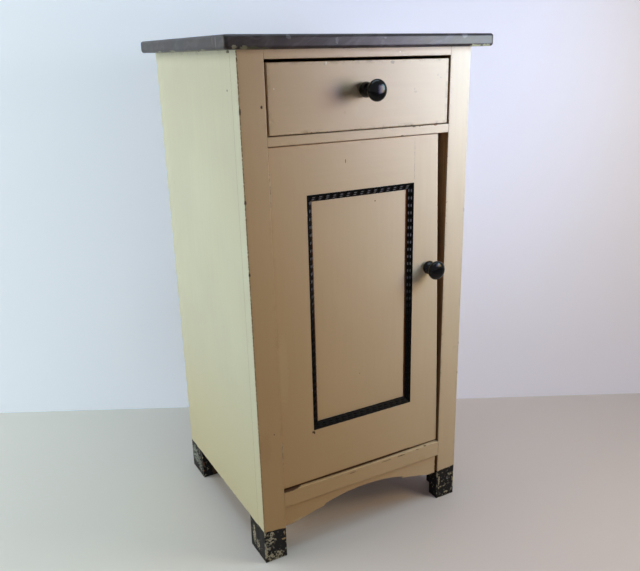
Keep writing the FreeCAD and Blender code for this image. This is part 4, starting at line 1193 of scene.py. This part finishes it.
    def _rails(self, shop: Workshop) -> None:
        """Paints the front rails and the apron.

        Args:
            shop: The workshop.
        """
        ochre = paint(150, 100, 60)
        painted_gap_shadow = paint(84, 56, 34)
        back = faces(back=self.stile_back)
        shop.painted("top_front_rail", shop.front_paint, wear=0.3,
                     chips=(Chip((64, 0, 816), (1.2, 3, 1.0), paint(245, 240, 228)),),
                     bare=faces(back=self.stile_back, bottom=self.rail_bare_and_shaded_below))
        shop.painted("drawer_divider_rail", shop.front_paint, wear=0.3, bare=back,
                     rubbed=(RubbedEdge((0, 0, 705.3), Axis.X, 1.3, 0.5, BROWN, 42.0),
                             RubbedEdge((0, 0, 691.8), Axis.X, 0.9, 0.5, BROWN, 40.0)),
                     chips=(Chip((133.7, 0, 705.3), (4.0, 3, 1.8), ochre),
                            Chip((92, 0, 705.3), (3.0, 3, 1.4), BROWN),
                            Chip((70, 0, 692), (3.0, 3, 1.2), DARK_BROWN)))
        shop.painted("bottom_front_rail", shop.front_paint, wear=0.3, bare=back,
                     rubbed=(RubbedEdge((0, 0, 124.5), Axis.X, 0.7, 0.4, BROWN, 30.0),
                             # the brown line along the rail's lower arris is wear, and painted
                             # shade where the apron is set back
                             RubbedEdge((0, 0, 95), Axis.X, 1.1, 0.8, paint(104, 74, 46), 34.0)),
                     # Painted shadow: dark over the rail's top behind its front, under the door's
                     # lower edge, and a dark wedge at the left end.
                     chips=(Chip((0, 18, 124.5), (230, 14.5, 5), painted_gap_shadow, 1.0, 0.3),
                            Chip((-150, 8, 124.5), (24, 10, 2.0), painted_gap_shadow, 1.0, 0.6),
                            Chip((-28, 0, 119.5), (7, 3, 1.0), BROWN, 0.6, 2.4),
                            Chip((44, 0, 120.5), (10, 3, 0.8), BROWN, 0.6, 2.4),
                            Chip((76, 0, 121.0), (9, 3, 1.1), BROWN, 0.7, 2.4),
                            Chip((112, 0, 122.5), (4, 3, 0.9), BROWN, 0.7, 2.2),
                            Chip((129.4, 0, 124.6), (3, 3, 1.0), BROWN),
                            Chip((122, 0, 101), (9, 3, 5), paint(196, 170, 130), 0.5)))
        scar = RubbedEdge((157.0, 4, 80), Axis.Z, 2.6, 0.9, paint(118, 80, 50), 30.0)
        shop.painted("front_apron", shop.front_paint, wear=0.3, rubbed=(scar,),
                     chips=(Chip((-120, 4, 60), (26, 3, 3.4), paint(198, 184, 148), 0.5, 1.6),),
                     bare=faces(back=self.apron_back))

    def build(self, shop: Workshop) -> None:
        """Dresses the whole carcase.

        Args:
            shop: The workshop.
        """
        self._left_stile(shop)
        self._right_stile(shop)
        self._sides(shop)
        self._rails(shop)
        pairs = ("drawer_guide", "top_kicker", "floor_cleat", "shelf_cleat")
        shop.dress_all(shop.pine, "dust_board", "drawer_stops", "top_back_rail", "cupboard_floor",
                   "shelf", "door_stop_strip",
                   *(f"{pair}_{hand}" for pair in pairs for hand in ("left", "right")))
        shop.dress_all(shop.dark_pine, "back_board_left", "back_board_middle", "back_board_right",
                   "rear_foot_block_left", "rear_foot_block_right")
        shop.dress_all(shop.iron, "slab_screws", "back_nails")


class Bench:
    """Modelling steps that several pieces share."""

    @staticmethod
    def clear() -> None:
        """Leaves edit mode and selects nothing."""
        if bpy.context.object and bpy.context.object.mode != "OBJECT":
            bpy.ops.object.mode_set(mode="OBJECT")
        bpy.ops.object.select_all(action="DESELECT")

    @staticmethod
    def name(title: str) -> bpy.types.Object:
        """Names the new primitive and lays its place into its mesh.

        Args:
            title: The piece's name.

        Returns:
            The piece.
        """
        piece = bpy.context.object
        piece.name = title
        piece.data.name = title
        bpy.ops.object.transform_apply(location=True, rotation=True, scale=True)
        return piece

    @staticmethod
    def close() -> None:
        """Merges doubles, turns all faces outwards and leaves edit mode."""
        bpy.ops.mesh.select_all(action="SELECT")
        bpy.ops.mesh.remove_doubles(threshold=0.000004)
        bpy.ops.mesh.normals_make_consistent(inside=False)
        bpy.ops.object.mode_set(mode="OBJECT")

    @staticmethod
    def copy(piece: bpy.types.Object, shift: Triple, turn: float) -> bpy.types.Object:
        """A copy with its own mesh.

        Args:
            piece: The piece that is copied.
            shift: Where the copy goes, from the world's origin.
            turn: Turn about the depth direction, in radians.

        Returns:
            The copy.
        """
        twin = piece.copy()
        twin.data = piece.data.copy()
        twin.data.transform(Matrix.Translation(shift) @ Matrix.Rotation(turn, 4, "Y"))
        bpy.context.scene.collection.objects.link(twin)
        return twin

    @staticmethod
    def join(pieces: Sequence[bpy.types.Object]) -> bpy.types.Object:
        """Joins pieces into the first.

        Args:
            pieces: The pieces.

        Returns:
            The joined piece.
        """
        Bench.clear()
        for piece in pieces:
            piece.select_set(True)
        bpy.context.view_layer.objects.active = pieces[0]
        bpy.ops.object.join()
        return pieces[0]


@dataclass
class TurnedKnob:
    """A turned knob: a rounded collar, a narrow neck and a flattened ball, in millimetres."""

    name: str
    x: float
    z: float
    seat: float                  # depth of the face it sits on
    spindle_end: float = 0.0     # depth of its spindle's end; zero for none
    spindle_radius: float = 4.5
    spindle_chamfer: float = 0.5
    length: float = 44.0
    base_radius: float = 7.6
    collar_radius: float = 11.6
    collar_at: float = 6.3
    shoulder_radius: float = 10.2
    shoulder_at: float = 0.38    # share of the way from the seat to the head's middle
    neck_radius: float = 7.4
    neck_at: float = 0.59
    curve_steps: int = 5
    head_radius: float = 16.0
    head_rear: float = 10.0
    head_front: float = 8.0
    head_start: float = -58.0    # degrees behind its widest ring where the head leaves the neck
    head_sweep: float = 145.0
    head_steps: int = 14
    bluntness: float = 0.8       # power of the cosine in front of the widest ring
    sides: int = 40

    def outline(self) -> list[tuple[float, float]]:
        """Distance out from the seat and radius of each ring, seat to tip.

        Returns:
            The rings.
        """
        middle = self.length - self.head_front
        turned = [(0.0, self.base_radius), (self.collar_at, self.collar_radius),
                  (self.shoulder_at * middle, self.shoulder_radius),
                  (self.neck_at * middle, self.neck_radius)]
        rings = turned[:1]
        for (start, wide), (end, narrow), late in zip(turned, turned[1:], (False, True, False)):
            for step in range(1, self.curve_steps + 1):
                angle = math.pi / 2.0 * step / self.curve_steps
                share = 1.0 - math.cos(angle) if late else math.sin(angle)
                rings.append((start + (end - start) * step / self.curve_steps,
                              wide + (narrow - wide) * share))
        for step in range(self.head_steps + 1):
            angle = math.radians(self.head_start + self.head_sweep * step / self.head_steps)
            half, power = ((self.head_rear, 1.0) if angle < 0.0
                           else (self.head_front, self.bluntness))
            rings.append((middle + half * math.sin(angle),
                          self.head_radius * math.cos(angle) ** power))
        return rings

    def rings(self) -> list[tuple[float, float]]:
        """Depth and radius of every ring from the back to the tip.

        Returns:
            The rings, with the spindle's first where there is one.
        """
        turned = [(self.seat - out, radius) for out, radius in self.outline()]
        if not self.spindle_end:
            return turned
        end, radius, chamfer = self.spindle_end, self.spindle_radius, self.spindle_chamfer
        return [(end, radius - chamfer), (end - chamfer, radius), (self.seat + 0.02, radius),
                *turned]

    def build(self, material: bpy.types.Material) -> bpy.types.Object:
        """Turns the knob.

        Args:
            material: Its material.

        Returns:
            The piece.
        """
        Bench.clear()
        rings = self.rings()
        start, radius = rings[0]
        bpy.ops.mesh.primitive_circle_add(
            vertices=self.sides, radius=radius * MM, fill_type="NGON",
            location=place(self.x, start, self.z), rotation=(math.pi / 2.0, 0.0, 0.0))
        piece = Bench.name(self.name)
        bpy.ops.object.mode_set(mode="EDIT")
        bpy.ops.mesh.select_mode(type="FACE")
        bpy.ops.mesh.select_all(action="SELECT")
        for deep, wanted in rings[1:]:
            bpy.ops.mesh.extrude_region_move(
                TRANSFORM_OT_translate={"value": (0.0, (deep - start) * MM, 0.0)})
            share = wanted / radius
            bpy.ops.transform.resize(value=(share, 1.0, share),
                                     center_override=place(self.x, deep, self.z))
            start, radius = deep, wanted
        bpy.ops.mesh.extrude_region_move(
            TRANSFORM_OT_translate={"value": (0.0, -0.01 * MM, 0.0)})
        bpy.ops.mesh.merge(type="CENTER")
        Bench.close()
        bpy.ops.object.shade_smooth_by_angle(angle=math.radians(50.0))
        piece.data.materials.clear()
        piece.data.materials.append(material)
        return piece


@dataclass
class Drawer:
    """The drawer with its knob."""

    knob: TurnedKnob = field(default_factory=lambda: TurnedKnob(
        "drawer_turned_knob", 0.0, 764.0, 0.5))

    def build(self, shop: Workshop) -> None:
        """Dresses the drawer and makes its knob.

        Args:
            shop: The workshop.
        """
        smudge = paint(168, 160, 146)
        shop.painted(
            "drawer_front", shop.front_paint, bare=faces(back=20.1, top=805.0),
            rubbed=(RubbedEdge((0, 0.5, 706.8), Axis.X, 1.2, 0.5, BROWN, 46.0),
                    RubbedEdge((-156.8, 0.5, 750), Axis.Z, 0.8, 0.4, BROWN, 40.0)),
            chips=(Chip((-63, 0.5, 803), (1.6, 3, 3.0), paint(226, 218, 200), 0.8),
                   Chip((-66, 0.5, 801), (1.2, 3, 1.4), smudge, 0.7),
                   Chip((50.6, 0.5, 801.5), (4.0, 3, 2.2), smudge, 0.8, 1.8),
                   Chip((136, 0.5, 781), (0.8, 3, 2.4), smudge, 0.6),
                   Chip((142, 0.5, 777), (1.0, 3, 1.2), smudge, 0.6),
                   Chip((93.6, 0.5, 757.3), (3.2, 3, 1.4), smudge, 0.4, 2.0),
                   Chip((92, 0.5, 761), (0.9, 3, 2.4), smudge, 0.4, 1.6),
                   Chip((-146.6, 0.5, 770.3), (0.9, 3, 0.8), paint(240, 234, 214)),
                   Chip((0, 0.5, 734), (17, 3, 12), paint(214, 204, 176), 0.22, 2.6)))
        shop.dress_all(shop.pine, "drawer_side_left", "drawer_side_right", "drawer_back",
                   "drawer_bottom")
        shop.dress_all(shop.iron, "drawer_knob_screw")
        finish = EbonyFinish("knob_black", wear=0.2)
        piece = self.knob.build(finish.material(shop.effects, Axis.Y))
        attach(piece, "drawer")
        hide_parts("drawer_knob")
        LOG.info("made %s", piece.name)


@dataclass
class Moulding:
    """The notched black moulding round the panel: a slope with two rows of beads."""

    left: float = -98.5
    right: float = 97.5
    low: float = 221.7
    high: float = 616.0
    width: float = 11.5
    lip: float = 0.8             # flat width beside the frame
    top: float = 4.9             # depth of that flat
    foot: float = 11.5           # depth of the slope's lower edge
    panel: float = 12.0          # depth of the panel's face
    border: float = 0.6          # width of the rim round the slope, which lies raised
    border_rise: float = 0.3
    pitch: float = 12.3
    bead_length: float = 10.0
    bead_width: float = 3.7
    bead_height: float = 1.15
    bead_root: float = 0.3       # how far a bead goes into the slope
    bead_highlight_share: float = 0.82     # share of its height above which a bead gets the painted highlight
    rows: tuple[float, float] = (4.0, 7.6)   # from the outer edge
    end_room: float = 0.36       # of a bead's length, beyond the last bead's centre
    bare: float = 10.7           # depth where an upright strip's black ends

    def _span(self, side: Side) -> tuple[float, float, float, float]:
        """Left, right, low and high of a strip.

        Args:
            side: The strip's side.

        Returns:
            The four limits.
        """
        left, right, low, high = self.left, self.right, self.low, self.high
        return {Side.LEFT: (left, left + self.width, low, high),
                Side.RIGHT: (right - self.width, right, low, high),
                Side.TOP: (left, right, high - self.width, high),
                Side.BOTTOM: (left, right, low, low + self.width)}[side]

    def _edge(self, side: Side) -> float:
        """Where a strip's outer edge lies, across the door or above the floor."""
        return {Side.LEFT: self.left, Side.RIGHT: self.right, Side.TOP: self.high,
                Side.BOTTOM: self.low}[side]

    def _facing(self, side: Side) -> Vector:
        """The way that a strip's slope faces.

        Args:
            side: The strip's side.

        Returns:
            The unit vector.
        """
        right, up = side.outward()
        drop, run = self.foot - self.top, self.width - self.lip
        return Vector((-right * drop, -run, -up * drop)).normalized()

    def _at(self, side: Side, inward: float, deep: float) -> Triple:
        """A point half-way along a strip.

        Args:
            side: The strip's side.
            inward: Millimetres from the middle of its width towards the panel.
            deep: Its depth.

        Returns:
            The point in metres.
        """
        left, right, low, high = self._span(side)
        across, up = side.outward()
        return place((left + right) / 2.0 - across * inward, deep,
                     (low + high) / 2.0 - up * inward)

    def _mitres(self, side: Side) -> list[tuple[Triple, Triple]]:
        """The two mitre cuts of a strip, each a point and a direction that points away.

        Args:
            side: The strip's side.

        Returns:
            The cuts.
        """
        edge = self._edge(side)
        across, up = side.outward()
        if side.upright():
            return [(place(edge, 0, self.high), (-across, 0.0, 1.0)),
                    (place(edge, 0, self.low), (-across, 0.0, -1.0))]
        return [(place(self.left, 0, edge), (-1.0, 0.0, -up)),
                (place(self.right, 0, edge), (1.0, 0.0, -up))]

    def _strip(self, side: Side) -> bpy.types.Object:
        """The plain strip with its slope, its raised rim and its mitred ends.

        Args:
            side: The strip's side.

        Returns:
            The strip.
        """
        left, right, low, high = self._span(side)
        Bench.clear()
        bpy.ops.mesh.primitive_cube_add(
            size=1.0, location=self._at(side, 0.0, (self.panel + self.top) / 2.0),
            scale=((right - left) * MM, (self.panel - self.top) * MM, (high - low) * MM))
        piece = Bench.name("notched_moulding_" + side.value)
        bpy.ops.object.mode_set(mode="EDIT")
        slope = (self._at(side, self.width / 2.0, self.foot), tuple(self._facing(side)))
        for corner, away in (*self._mitres(side), slope):
            bpy.ops.mesh.select_all(action="SELECT")
            bpy.ops.mesh.bisect(plane_co=corner, plane_no=away, use_fill=True,
                                clear_outer=True)
        bpy.ops.object.mode_set(mode="OBJECT")
        for face in piece.data.polygons:
            face.select = -0.95 < face.normal.y < -0.6
        for part in (*piece.data.edges, *piece.data.vertices):
            part.select = False
        bpy.ops.object.mode_set(mode="EDIT")
        bpy.ops.mesh.select_mode(type="FACE")
        bpy.ops.mesh.inset(thickness=self.border * MM, depth=-self.border_rise * MM)
        Bench.close()
        return piece

    def _bead(self) -> bpy.types.Object:
        """One bead, centred on the origin, upright, and leaning as on the left strip.

        Returns:
            The bead.
        """
        Bench.clear()
        bpy.ops.mesh.primitive_uv_sphere_add(
            segments=12, ring_count=8, radius=1.0,
            scale=(self.bead_width / 2.0 * MM, self.bead_height * MM,
                   self.bead_length / 2.0 * MM))
        bead = Bench.name("moulding_bead")
        bpy.ops.object.mode_set(mode="EDIT")
        bpy.ops.mesh.select_all(action="SELECT")
        bpy.ops.mesh.bisect(plane_co=(0.0, self.bead_root * MM, 0.0),
                            plane_no=(0.0, 1.0, 0.0), use_fill=True, clear_outer=True)
        Bench.close()
        bpy.ops.object.shade_smooth_by_angle(angle=math.radians(70.0))
        lean = math.atan2(self.foot - self.top, self.width - self.lip)
        bead.data.transform(Matrix.Rotation(lean, 4, "Z"))
        return bead

    def _highlight_plane(self, side: Side) -> Face:
        """The tops of a strip's beads, which get the painted highlight.

        Args:
            side: The strip's side.

        Returns:
            The space above a plane that runs level with the slope.
        """
        up = self._facing(side)
        level = up.dot(Vector(self._at(side, self.lip - self.width / 2.0, self.top)))
        return Face(tuple(up), level + self.bead_height * self.bead_highlight_share * MM, 0.00015)

    def _places(self, side: Side) -> list[Triple]:
        """Centres of a strip's beads.

        Args:
            side: The strip's side.

        Returns:
            The centres.
        """
        left, right, low, high = self._span(side)
        start, end = (low, high) if side.upright() else (left, right)
        found = []
        for row in self.rows:
            deep = self.top + (row - self.lip) * (self.foot - self.top) / (self.width - self.lip)
            across = self._edge(side) - sum(side.outward()) * row
            reach = (end - start) / 2.0 - row - self.bead_length * self.end_room
            count = int(reach // self.pitch)
            for step in range(-count, count + 1):
                run = (start + end) / 2.0 + step * self.pitch
                found.append(place(across, deep, run) if side.upright()
                             else place(run, deep, across))
        return found

    def build(self, shop: Workshop) -> None:
        """Carves the four strips.

        Args:
            shop: The workshop.
        """
        bead = self._bead()
        turns = {Side.LEFT: 0.0, Side.TOP: 0.5, Side.RIGHT: 1.0, Side.BOTTOM: -0.5}
        for side in Side:
            strip = self._strip(side)
            piece = Bench.join([strip, *(Bench.copy(bead, spot, turns[side] * math.pi)
                                         for spot in self._places(side))])
            piece.name = "notched_moulding_" + side.value
            finish = EbonyFinish("moulding_black_" + side.value, paint(6, 5, 5), wear=0.1,
                                 specular=0.07, matt=0.42, highlight_tops=self._highlight_plane(side),
                                 bare=self.bare if side.upright() else 0.0)
            piece.data.materials.clear()
            piece.data.materials.append(
                finish.material(shop.effects, Axis.Z if side.upright() else Axis.X))
            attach(piece, "door")
            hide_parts("moulding_" + side.value)
            LOG.info("made %s", piece.name)
        bpy.data.objects.remove(bead)


@dataclass
class Door:
    """The panelled door with its moulding, hinges and latch, in millimetres."""

    moulding: Moulding = field(default_factory=Moulding)
    knob: TurnedKnob = field(default_factory=lambda: TurnedKnob(
        "door_turned_knob", 127.0, 470.0, 4.7, spindle_end=34.1, length=35.0))
    face: float = 5.0            # depth of the frame's face
    back: float = 22.7           # depth where the frame's bare back begins
    bottom: float = 128.0
    top: float = 690.3
    panel_face: float = 12.0
    panel_back: float = 17.8

    def _frame(self, shop: Workshop) -> None:
        """Paints the stiles and rails.

        Args:
            shop: The workshop.
        """
        pale = paint(232, 224, 206)
        face, low, edges = self.face, self.bottom, self.moulding
        # Pale lines along the frame's inner arrises beside the moulding: painted highlight, in
        # broken stretches.
        left, right, top, bottom = (
            RubbedEdge((x, face, z), along, 0.9, 0.5, pale, 40.0, reach)
            for x, z, along, reach in ((edges.left, 419, Axis.Z, 198),
                                       (edges.right, 419, Axis.Z, 198),
                                       (-0.5, edges.high, Axis.X, 98),
                                       (-0.5, edges.low, Axis.X, 98)))
        joint = RubbedEdge((97.6, face, 654), Axis.Z, 0.8, 0.8, paint(158, 146, 126), 20.0, 38)
        foot_left, foot_right, foot_middle = (
            RubbedEdge((x, face, low), Axis.X, 1.0, 0.4, BROWN, 30.0)
            for x in (-158.5, 158.5, 0))
        head = RubbedEdge((0, face, self.top), Axis.X, 1.0, 0.4, OLIVE, 36.0)
        stain = Chip((-150, face, 340), (9, 3, 60), paint(204, 186, 150), 0.14, 2.0)
        for name, rubbed, chips in (
                ("door_hinge_stile", (foot_left, left),
                 (Chip((-100.0, face, 218.8), (1.8, 3, 2.4), BROWN, 0.9), stain)),
                ("door_latch_stile", (joint, foot_right, right), ()),
                ("door_top_rail", (head, top),
                 (Chip((-30.6, face, 661), (0.8, 3, 3.4), BROWN, 0.8),)),
                ("door_bottom_rail", (foot_middle, bottom),
                 (Chip((-97.5, face, 217), (1.4, 3, 3.0), BROWN),))):
            shop.painted(name, shop.front_paint, ("door_hinge_stile", "door_latch_stile"),
                         rubbed=rubbed, chips=chips, bare=faces(back=self.back), wear=0.3)

    def _panel(self, shop: Workshop) -> None:
        """Paints the panel, with pale lines where it meets the moulding.

        Args:
            shop: The workshop.
        """
        pale = paint(232, 224, 206)
        shop.painted("door_panel", shop.front_paint, wear=0.5, bare=faces(back=self.panel_back),
                     rubbed=tuple(
                         RubbedEdge((x, self.panel_face, z), along, 1.0, 0.62, pale, 30.0)
                         for x, z, along in ((-87, 0, Axis.Z), (86, 0, Axis.Z),
                                             (0, 233.2, Axis.X), (0, 604.5, Axis.X))),
                     chips=(Chip((26.9, self.panel_face, 593), (1.1, 3, 1.1), BROWN, 0.9),
                            Chip((-4, self.panel_face, 300), (1.2, 3, 1.0), BROWN, 0.5)))

    def build(self, shop: Workshop) -> None:
        """Dresses the door and makes its moulding and knob.

        Args:
            shop: The workshop.
        """
        self._frame(shop)
        self._panel(shop)
        self.moulding.build(shop)
        shop.dress_all(shop.hinge, *(f"{level}_hinge_{part}" for level in ("upper", "lower")
                                 for part in ("case_leaf", "door_leaf", "pin")))
        shop.dress_all(shop.iron, "hinge_screws_case", "hinge_screws_door", "latch_pin",
                   "latch_washer")
        shop.dress_all(shop.dark_pine, "latch_finger")
        finish = EbonyFinish("latch_knob_black", wear=0.2)
        piece = self.knob.build(finish.material(shop.effects, Axis.Y))
        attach(piece, "latch")
        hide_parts("door_knob")
        LOG.info("made %s", piece.name)


# ------------------------------------------------------------------ the studio
@dataclass(frozen=True)
class SoftLamp:
    """A large soft lamp."""

    name: str
    at: Triple
    aim: Triple
    size: tuple[float, float]
    power: float
    colour: Colour = (1.0, 1.0, 1.0)
    spread: float = 180.0        # degrees

    def hang(self) -> bpy.types.Object:
        """Hangs the lamp.

        Returns:
            The lamp.
        """
        data = bpy.data.lights.new(self.name, "AREA")
        data.shape = "RECTANGLE"
        data.size, data.size_y = self.size
        data.energy = self.power
        data.color = self.colour
        data.spread = math.radians(self.spread)
        lamp = bpy.data.objects.new(self.name, data)
        lamp.location = self.at
        lamp.rotation_euler = (Vector(self.aim) - Vector(self.at)).to_track_quat(
            "-Z", "Y").to_euler()
        lamp.visible_camera = False
        bpy.context.scene.collection.objects.link(lamp)
        return lamp


@dataclass
class Studio:
    """Floor, backdrop, lamps and camera, in metres and degrees."""

    camera_at: Triple = (-0.5832, -1.09385, 0.8136)
    azimuth: float = -29.43      # the camera's way round from the front
    drop: float = 19.01          # how far it looks down
    roll: float = -1.10
    sensor: float = 36.0         # millimetres, as the lens is
    lens: float = 40.134
    shift: tuple[float, float] = (-0.0228, 0.0234)
    sideways: Triple = (0.87, -0.49, 0.0)    # from the camera's left to its right
    floor_size: float = 9.0
    floor_gap: float = 0.0004    # how far the floor lies below the feet
    wall_at: Triple = (0.168, 0.303, 1.6)
    wall_size: Triple = (7.0, 3.2, 1.0)
    wall_turn: float = -27.97
    # The floor's and backdrop's colours change from left to right as painted light of the room.
    floor_left: Colour = paint(215, 214, 209)
    floor_right: Colour = paint(209, 195, 194)
    wall_left: Colour = paint(229, 238, 249)
    wall_right: Colour = paint(217, 215, 230)
    lamps: tuple[SoftLamp, ...] = (
        SoftLamp("lamp_right", (0.72, -0.85, 0.80), (0.1, -0.16, 0.6), (0.4, 0.4), 4.5,
                 (1.0, 0.75, 0.38)),
        SoftLamp("window_right", (0.50, -0.50, 0.86), (0.12, -0.16, 0.7), (0.25, 0.25), 2.1,
                 (0.50, 0.82, 1.0)),
        SoftLamp("window_near", (0.38, -0.66, 0.80), (0.22, -0.16, 0.78), (0.25, 0.32), 0.78,
                 (0.50, 0.52, 1.0), 110.0),
        SoftLamp("window_left", (-1.7, 0.6, 1.0), (-0.2, 0.0, 0.42), (1.3, 1.4), 20.0,
                 (0.985, 0.975, 0.91)),
        SoftLamp("ceiling", (0.1, 0.2, 2.6), (0.1, 0.1, 0.0), (2.2, 2.2), 54.0,
                 (0.68, 0.88, 1.0)),
    )

    def _backing(self, name: str, left: Colour, right: Colour, glow: float,
                 one_sided: bool) -> bpy.types.Material:
        """A pale seamless material that keeps shadows, with painted light: bluer and paler at the
        camera's left, warmer and darker at its right.

        Args:
            name: The material's name.
            left: Its colour at the camera's left.
            right: Its colour at the camera's right.
            glow: Paleness that only the camera, gloss and glass see.
            one_sided: Whether it can't be seen from behind.

        Returns:
            The material.
        """
        material = bpy.data.materials.new(name)
        material.use_nodes = True
        material.node_tree.nodes.clear()
        graph = Graph(material.node_tree)
        point = graph.take(graph.add("ShaderNodeTexCoord"), "Object")
        across = graph.vector("DOT_PRODUCT", point, self.sideways)
        # Painted light: the colour shifts from the camera's left to its right.
        colour = graph.mix(graph.step(across, -0.5, 0.4), left, right)
        darker = graph.mix(0.05, colour, (0.0, 0.0, 0.0))
        tone = graph.mix(graph.noise(point, 2.2, 3.0, 0.5), colour, darker)
        matt = graph.add("ShaderNodeBsdfDiffuse", {"Color": tone})
        lit = graph.add("ShaderNodeEmission", {"Color": tone, "Strength": graph.seen() * glow})
        surface = graph.add("ShaderNodeAddShader", {0: graph.take(matt), 1: graph.take(lit)})
        if one_sided:
            behind = graph.take(graph.add("ShaderNodeNewGeometry"), "Backfacing")
            clear = graph.take(graph.add("ShaderNodeBsdfTransparent"))
            surface = graph.add("ShaderNodeMixShader", {0: behind, 1: graph.take(surface),
                                                        2: clear})
        graph.add("ShaderNodeOutputMaterial", {"Surface": graph.take(surface)})
        return material

    def _floor(self) -> None:
        """Lays the floor and stands the backdrop on it."""
        Bench.clear()
        bpy.ops.mesh.primitive_plane_add(size=self.floor_size,
                                         location=(0.0, 0.0, -self.floor_gap))
        floor = Bench.name("studio_floor")
        floor.data.materials.append(self._backing(
            "floor_sheet", self.floor_left, self.floor_right, 0.05, False))
        Bench.clear()
        bpy.ops.mesh.primitive_plane_add(
            size=1.0, location=self.wall_at,
            rotation=(math.pi / 2.0, 0.0, math.radians(self.wall_turn)))
        bpy.context.object.scale = self.wall_size
        wall = Bench.name("studio_backdrop")
        wall.data.materials.append(self._backing(
            "backdrop_sheet", self.wall_left, self.wall_right, 0.3, True))

    def _world(self) -> None:
        """A dim even room, with a pale background for the camera and for gloss."""
        world = bpy.data.worlds.new("room")
        bpy.context.scene.world = world
        world.use_nodes = True
        world.node_tree.nodes.clear()
        graph = Graph(world.node_tree)
        backing = graph.add("ShaderNodeBackground", {"Color": paint(188, 190, 196)})
        room = graph.add("ShaderNodeBackground", {"Color": (1.0, 0.90, 0.80), "Strength": 0.01})
        blend = graph.add("ShaderNodeMixShader", {0: graph.seen(), 1: graph.take(room),
                                                  2: graph.take(backing)})
        graph.add("ShaderNodeOutputWorld", {"Surface": graph.take(blend)})

    def _camera(self) -> None:
        """Sets up the camera, a little below the slab's top and left of the front."""
        turn, drop, roll = (math.radians(a) for a in (self.azimuth, self.drop, self.roll))
        back = Vector((math.sin(turn) * math.cos(drop), -math.cos(turn) * math.cos(drop),
                       math.sin(drop)))
        level = Vector((0.0, 0.0, 1.0)).cross(back).normalized()
        rise = back.cross(level)
        right = math.cos(roll) * level + math.sin(roll) * rise
        up = -math.sin(roll) * level + math.cos(roll) * rise
        data = bpy.data.cameras.new("studio_camera")
        data.lens = self.lens
        data.sensor_width = self.sensor
        data.shift_x, data.shift_y = self.shift
        data.clip_start = 0.02
        camera = bpy.data.objects.new("studio_camera", data)
        camera.matrix_world = Matrix.Translation(self.camera_at) @ Matrix(
            (right, up, back)).transposed().to_4x4()
        bpy.context.scene.collection.objects.link(camera)
        bpy.context.scene.camera = camera

    def build(self) -> None:
        """Builds the studio."""
        self._floor()
        self._world()
        for lamp in self.lamps:
            lamp.hang()
        self._camera()
        bpy.context.scene.view_settings.view_transform = "Standard"


def main() -> None:
    """Builds the cabinet's looks and the studio round it."""
    logging.basicConfig(level=logging.INFO, format="%(message)s")
    shop = Workshop(frame["nodes"])
    for part in (Slab(), Case(), Drawer(), Door()):
        part.build(shop)
        LOG.info("finished %s", type(part).__name__)
    Studio().build()
    bpy.context.view_layer.update()


if __name__ == "__main__":
    main()
